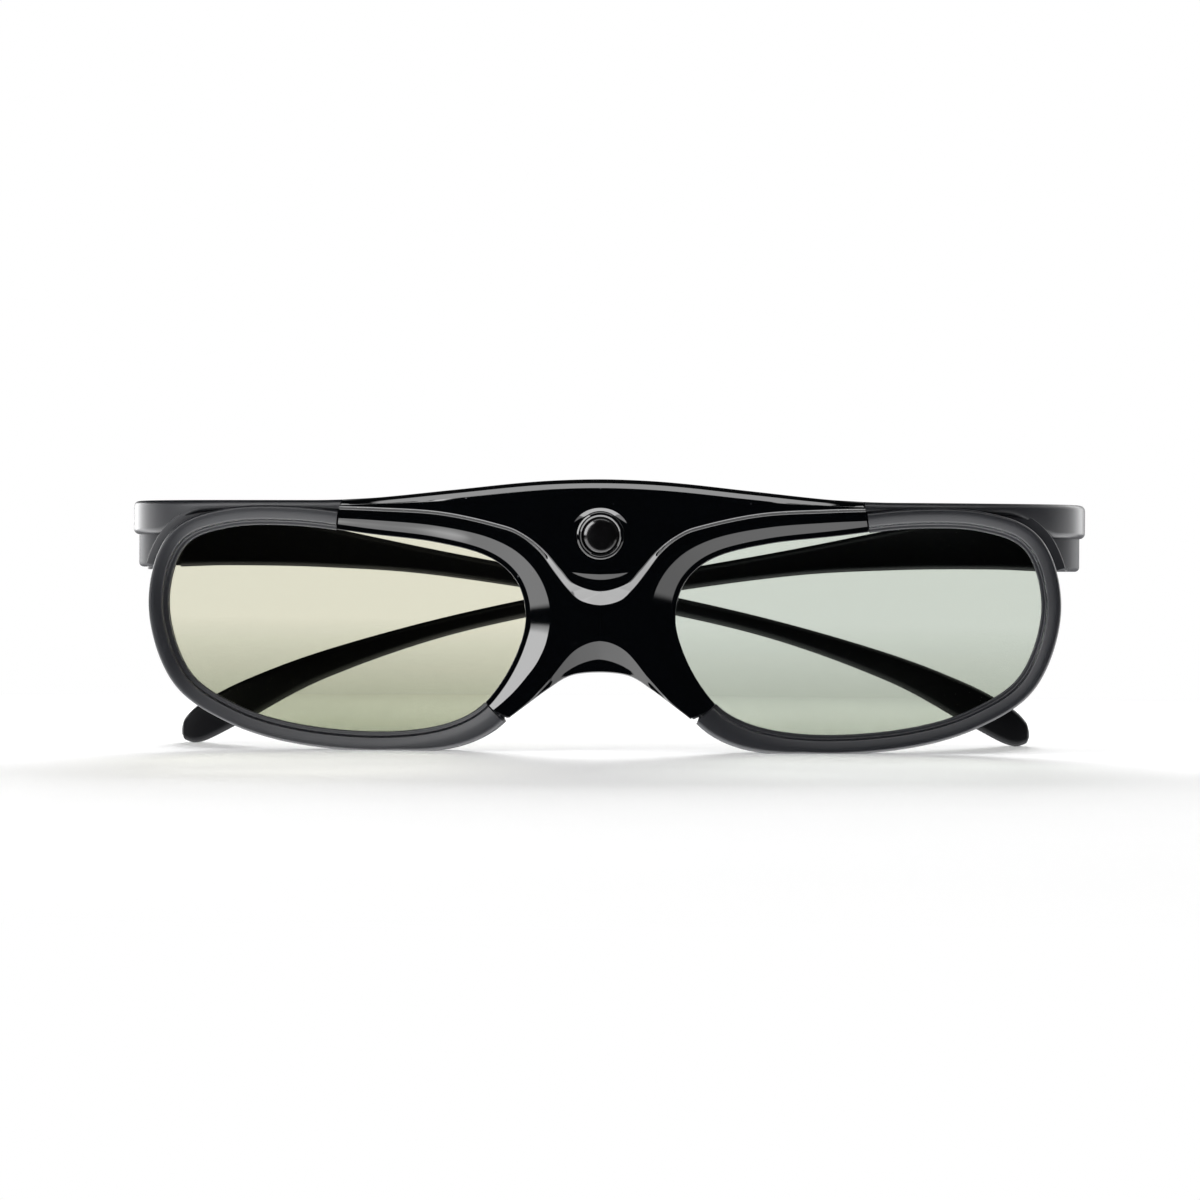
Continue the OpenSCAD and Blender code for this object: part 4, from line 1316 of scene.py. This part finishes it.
# %% Satin black of rims, wings and rear cover
low_half_from = 10.9
satin = Finish("satin_black", Specular_IOR_Level=0.25)
grain = satin.noise(2600, 2, 0.6)
flow = satin.noise(45, 3)
height = satin.node("ShaderNodeSeparateXYZ", {}, {"Vector": satin.place}, "Z")
deep = satin.node("ShaderNodeSeparateXYZ", {}, {"Vector": satin.place}, "Y")
low_half = (deep > (front_y + low_half_from) * MM) * (1 - (height > end_mid * MM))
satin.feed(Base_Color=satin.blend(flow, (0.009, 0.0095, 0.0115, 1), (0.013, 0.0135, 0.016, 1)),
           Roughness=satin.span(flow * 0.7 + grain * 0.3, 0.3, 0.7, 0.34, 0.42))
satin.bump(grain, 0.05, 0.00004)
dull = satin.node("ShaderNodeBsdfPrincipled", {}, {"Base Color": (0.012, 0.0125, 0.0145, 1),
                  "Roughness": 0.55, "Specular IOR Level": 0.1})
satin.mixed(low_half, satin.body, dull)
for piece in (front_moulding, rear_moulding):
    paint(piece, satin)
print("satin on", front_moulding.name, "and", rear_moulding.name)

# %% Satin black of the temples
arm_satin = Finish("temple_black", Specular_IOR_Level=0.04)
grain = arm_satin.noise(2400, 2, 0.6)
flow = arm_satin.noise(30, 3)
arm_satin.feed(Base_Color=arm_satin.blend(flow, (0.002, 0.0021, 0.0026, 1),
                                          (0.0035, 0.0036, 0.0042, 1)),
               Roughness=arm_satin.span(flow * 0.6 + grain * 0.4, 0.3, 0.7, 0.34, 0.46))
arm_satin.bump(grain, 0.04, 0.00004)
for piece in (left_arm, right_arm):
    paint(piece, arm_satin)
print("darker satin on", left_arm.name, "and", right_arm.name)

# %% [markdown]
# ## Gloss black
# The bridge cover and the ring are polished black. A coat over a satin base could give the shine,
# but the real piece is one hard plastic, so a smooth shader is enough. A faint haze, slow waves in
# the surface and a few specks of dust keep it from looking like a perfect mirror.

# %% Gloss black of the bridge cover
gloss = Finish("gloss_black")
specks = gloss.node("ShaderNodeTexVoronoi", {}, {"Vector": gloss.place, "Scale": 420}, "Distance")
spread = gloss.noise(160, 2)
dust = (0.11 - specks > 0.06) * (spread > 0.56)
haze = gloss.noise(90, 4)
gloss.feed(Base_Color=gloss.blend(dust * 0.4, (0.0011, 0.0015, 0.0022, 1), (0.1, 0.1, 0.11, 1)),
           Roughness=gloss.span(haze, 0.3, 0.7, 0.03, 0.06) + dust * 0.3)
swim = gloss.noise(110, 1)
gloss.bump(swim, 0.03, 0.00006)
paint(bridge_cover, gloss)
paint(ring, gloss)
print("gloss on", bridge_cover.name, "and", ring.name)

# %% [markdown]
# ## Sensor window and nose pads
# The window lets infrared light through and looks almost black, so a dark, slightly cloudy face
# does, and nothing behind it has to show. The pads are soft rubber: rough, with a skin that a fine
# bump gives more cheaply than modelled grain.

# %% Dark window of the sensor
dark_pane = Finish("sensor_dark")
cloud = dark_pane.noise(600, 3)
dark_pane.feed(Base_Color=dark_pane.blend(cloud, (0.002, 0.002, 0.0022, 1),
                                          (0.005, 0.0048, 0.0055, 1)),
               Roughness=dark_pane.span(cloud, 0.3, 0.7, 0.08, 0.16))
paint(pane, dark_pane)
print("dark window on", pane.name)

# %% Soft rubber of the nose pads
rubber = Finish("pad_rubber")
skin = rubber.noise(2600, 3)
rubber.feed(Base_Color=rubber.blend(skin, (0.012, 0.012, 0.013, 1), (0.022, 0.022, 0.024, 1)),
            Roughness=rubber.span(skin, 0.3, 0.7, 0.62, 0.78))
rubber.bump(skin, 0.2, 0.00005)
for piece in (left_pad, right_pad):
    paint(piece, rubber)
print("rubber on", left_pad.name, "and", right_pad.name)

# %% [markdown]
# ## Lenses
# A shutter lens is a clear pane between two polarizing films. Light goes straight through it and
# comes out tinted. A glass shader would bend the light, and the shadow of a lens would come out
# black, so it is a tinted Transparent shader with a thin gloss over it. The films are turned
# differently, which gives the two lenses slightly different tints. Towards its bottom each lens
# shows a darker tint: that is painted shade, for the shadow of the frame on what lies behind it.

# %% Lenses
def clear_pane(name, top, shaded_tint, gloss_share):
    tinted = Finish(name, Roughness=0.05, Base_Color=(0.02, 0.02, 0.018, 1))
    height = tinted.node("ShaderNodeSeparateXYZ", {}, {"Vector": tinted.place}, "Z")
    # Painted shade: the pane is tinted darker towards its bottom, and noise makes the edge of that
    # shade wavy
    shade_wobble = tinted.noise(14, 2)
    upper = tinted.node("ShaderNodeBsdfTransparent", {}, {"Color": top})
    lower = tinted.node("ShaderNodeBsdfTransparent", {}, {"Color": shaded_tint})
    unshaded_share = tinted.span(height + shade_wobble * 0.006, 0.006, 0.026)
    clear = tinted.node("ShaderNodeMixShader", {}, {0: unshaded_share, 1: lower, 2: upper})
    edge = tinted.node("ShaderNodeFresnel", {}, {"IOR": 1.45})
    tinted.mixed(edge * gloss_share, clear, tinted.body)
    return tinted


left_tint = clear_pane("lens_left", (0.885, 0.877, 0.793, 1), (0.57, 0.59, 0.5, 1), 0.1)
right_tint = clear_pane("lens_right", (0.801, 0.832, 0.793, 1), (0.61, 0.64, 0.58, 1), 0.1)
plain = clear_pane("film_clear", (0.995, 0.995, 0.993, 1), (0.99, 0.99, 0.987, 1), 0.25)
for side, tint in (("left", left_tint), ("right", right_tint)):
    paint(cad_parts[side + "_shutter"], tint)
    paint(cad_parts[side + "_front_film"], plain)
    paint(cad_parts[side + "_rear_film"], plain)
print("tints:", [tint.material.name for tint in (left_tint, right_tint, plain)])

# %% [markdown]
# ## Small fittings
# Pins, screws and the socket are plated steel; the board, its chips, the cell and the flex strips
# lie inside. They could be modelled again, but are small or hidden. So they keep their solids and
# get finishes of their own.

# %% Metal and black fittings
steel = Finish("plated_steel", Metallic=1.0)
brushed = steel.noise(3000, 3)
steel.feed(Base_Color=steel.blend(brushed, (0.46, 0.46, 0.47, 1), (0.62, 0.62, 0.63, 1)),
           Roughness=steel.span(brushed, 0.3, 0.7, 0.22, 0.4))

moulded = Finish("moulded_black")
grain = moulded.noise(3600, 2)
moulded.feed(Base_Color=moulded.blend(grain, (0.012, 0.012, 0.013, 1), (0.022, 0.022, 0.024, 1)),
             Roughness=moulded.span(grain, 0.3, 0.7, 0.42, 0.6))
moulded.bump(grain, 0.15, 0.00004)
print("finishes:", steel.material.name, moulded.material.name)

# %% Board, cell, flex strips and pilot light
mask = Finish("solder_mask", Roughness=0.4)
lines = mask.node("ShaderNodeTexBrick", {}, {"Vector": mask.place, "Scale": 700,
                  "Mortar Size": 0.06, "Color1": (0.02, 0.11, 0.05, 1),
                  "Color2": (0.018, 0.1, 0.045, 1), "Mortar": (0.05, 0.2, 0.1, 1)}, "Color")
mask.feed(Base_Color=lines)

foil = Finish("cell_foil", Metallic=0.8)
crinkle = foil.noise(500, 3)
foil.feed(Base_Color=foil.blend(crinkle, (0.6, 0.61, 0.63, 1), (0.75, 0.76, 0.78, 1)),
          Roughness=foil.span(crinkle, 0.3, 0.7, 0.28, 0.45))
foil.bump(crinkle, 0.2, 0.0001)

amber = Finish("flex_amber", Roughness=0.3)
weave = amber.node("ShaderNodeTexWave", {}, {"Vector": amber.place, "Scale": 260}, "Fac")
amber.feed(Base_Color=amber.blend(weave, (0.42, 0.2, 0.03, 1), (0.55, 0.3, 0.06, 1)))

frost = Finish("pilot_frost", Roughness=0.35)
mist = frost.noise(1500, 2)
frost.feed(Base_Color=frost.blend(mist, (0.7, 0.72, 0.76, 1), (0.85, 0.87, 0.9, 1)))
print("finishes:", [finish.material.name for finish in (mask, foil, amber, frost)])

# %% Finishes of the fittings
fittings = {
    steel: ["charging_socket", "button_switch", "rear_screws", "left_pin", "right_pin"],
    moulded: ["photodiode", "board_chips", "socket_tongue", "power_button", "left_gasket",
              "right_gasket", "left_hinge", "right_hinge"],
    mask: ["circuit_board"],
    foil: ["battery"],
    amber: ["left_flex", "right_flex"],
    frost: ["light_pipe"],
}
for finish, names in fittings.items():
    for name in names:
        paint(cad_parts[name], finish)
print("fittings:", sum(len(names) for names in fittings.values()))

# %% [markdown]
# ## Sizes
# The dressed part has to stay within the box of the imported model. The box of what is shown is
# printed.

# %% Sizes, then finish
low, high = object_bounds()
print("visual box in mm:", [round(v * 1000, 2) for v in low], [round(v * 1000, 2) for v in high])
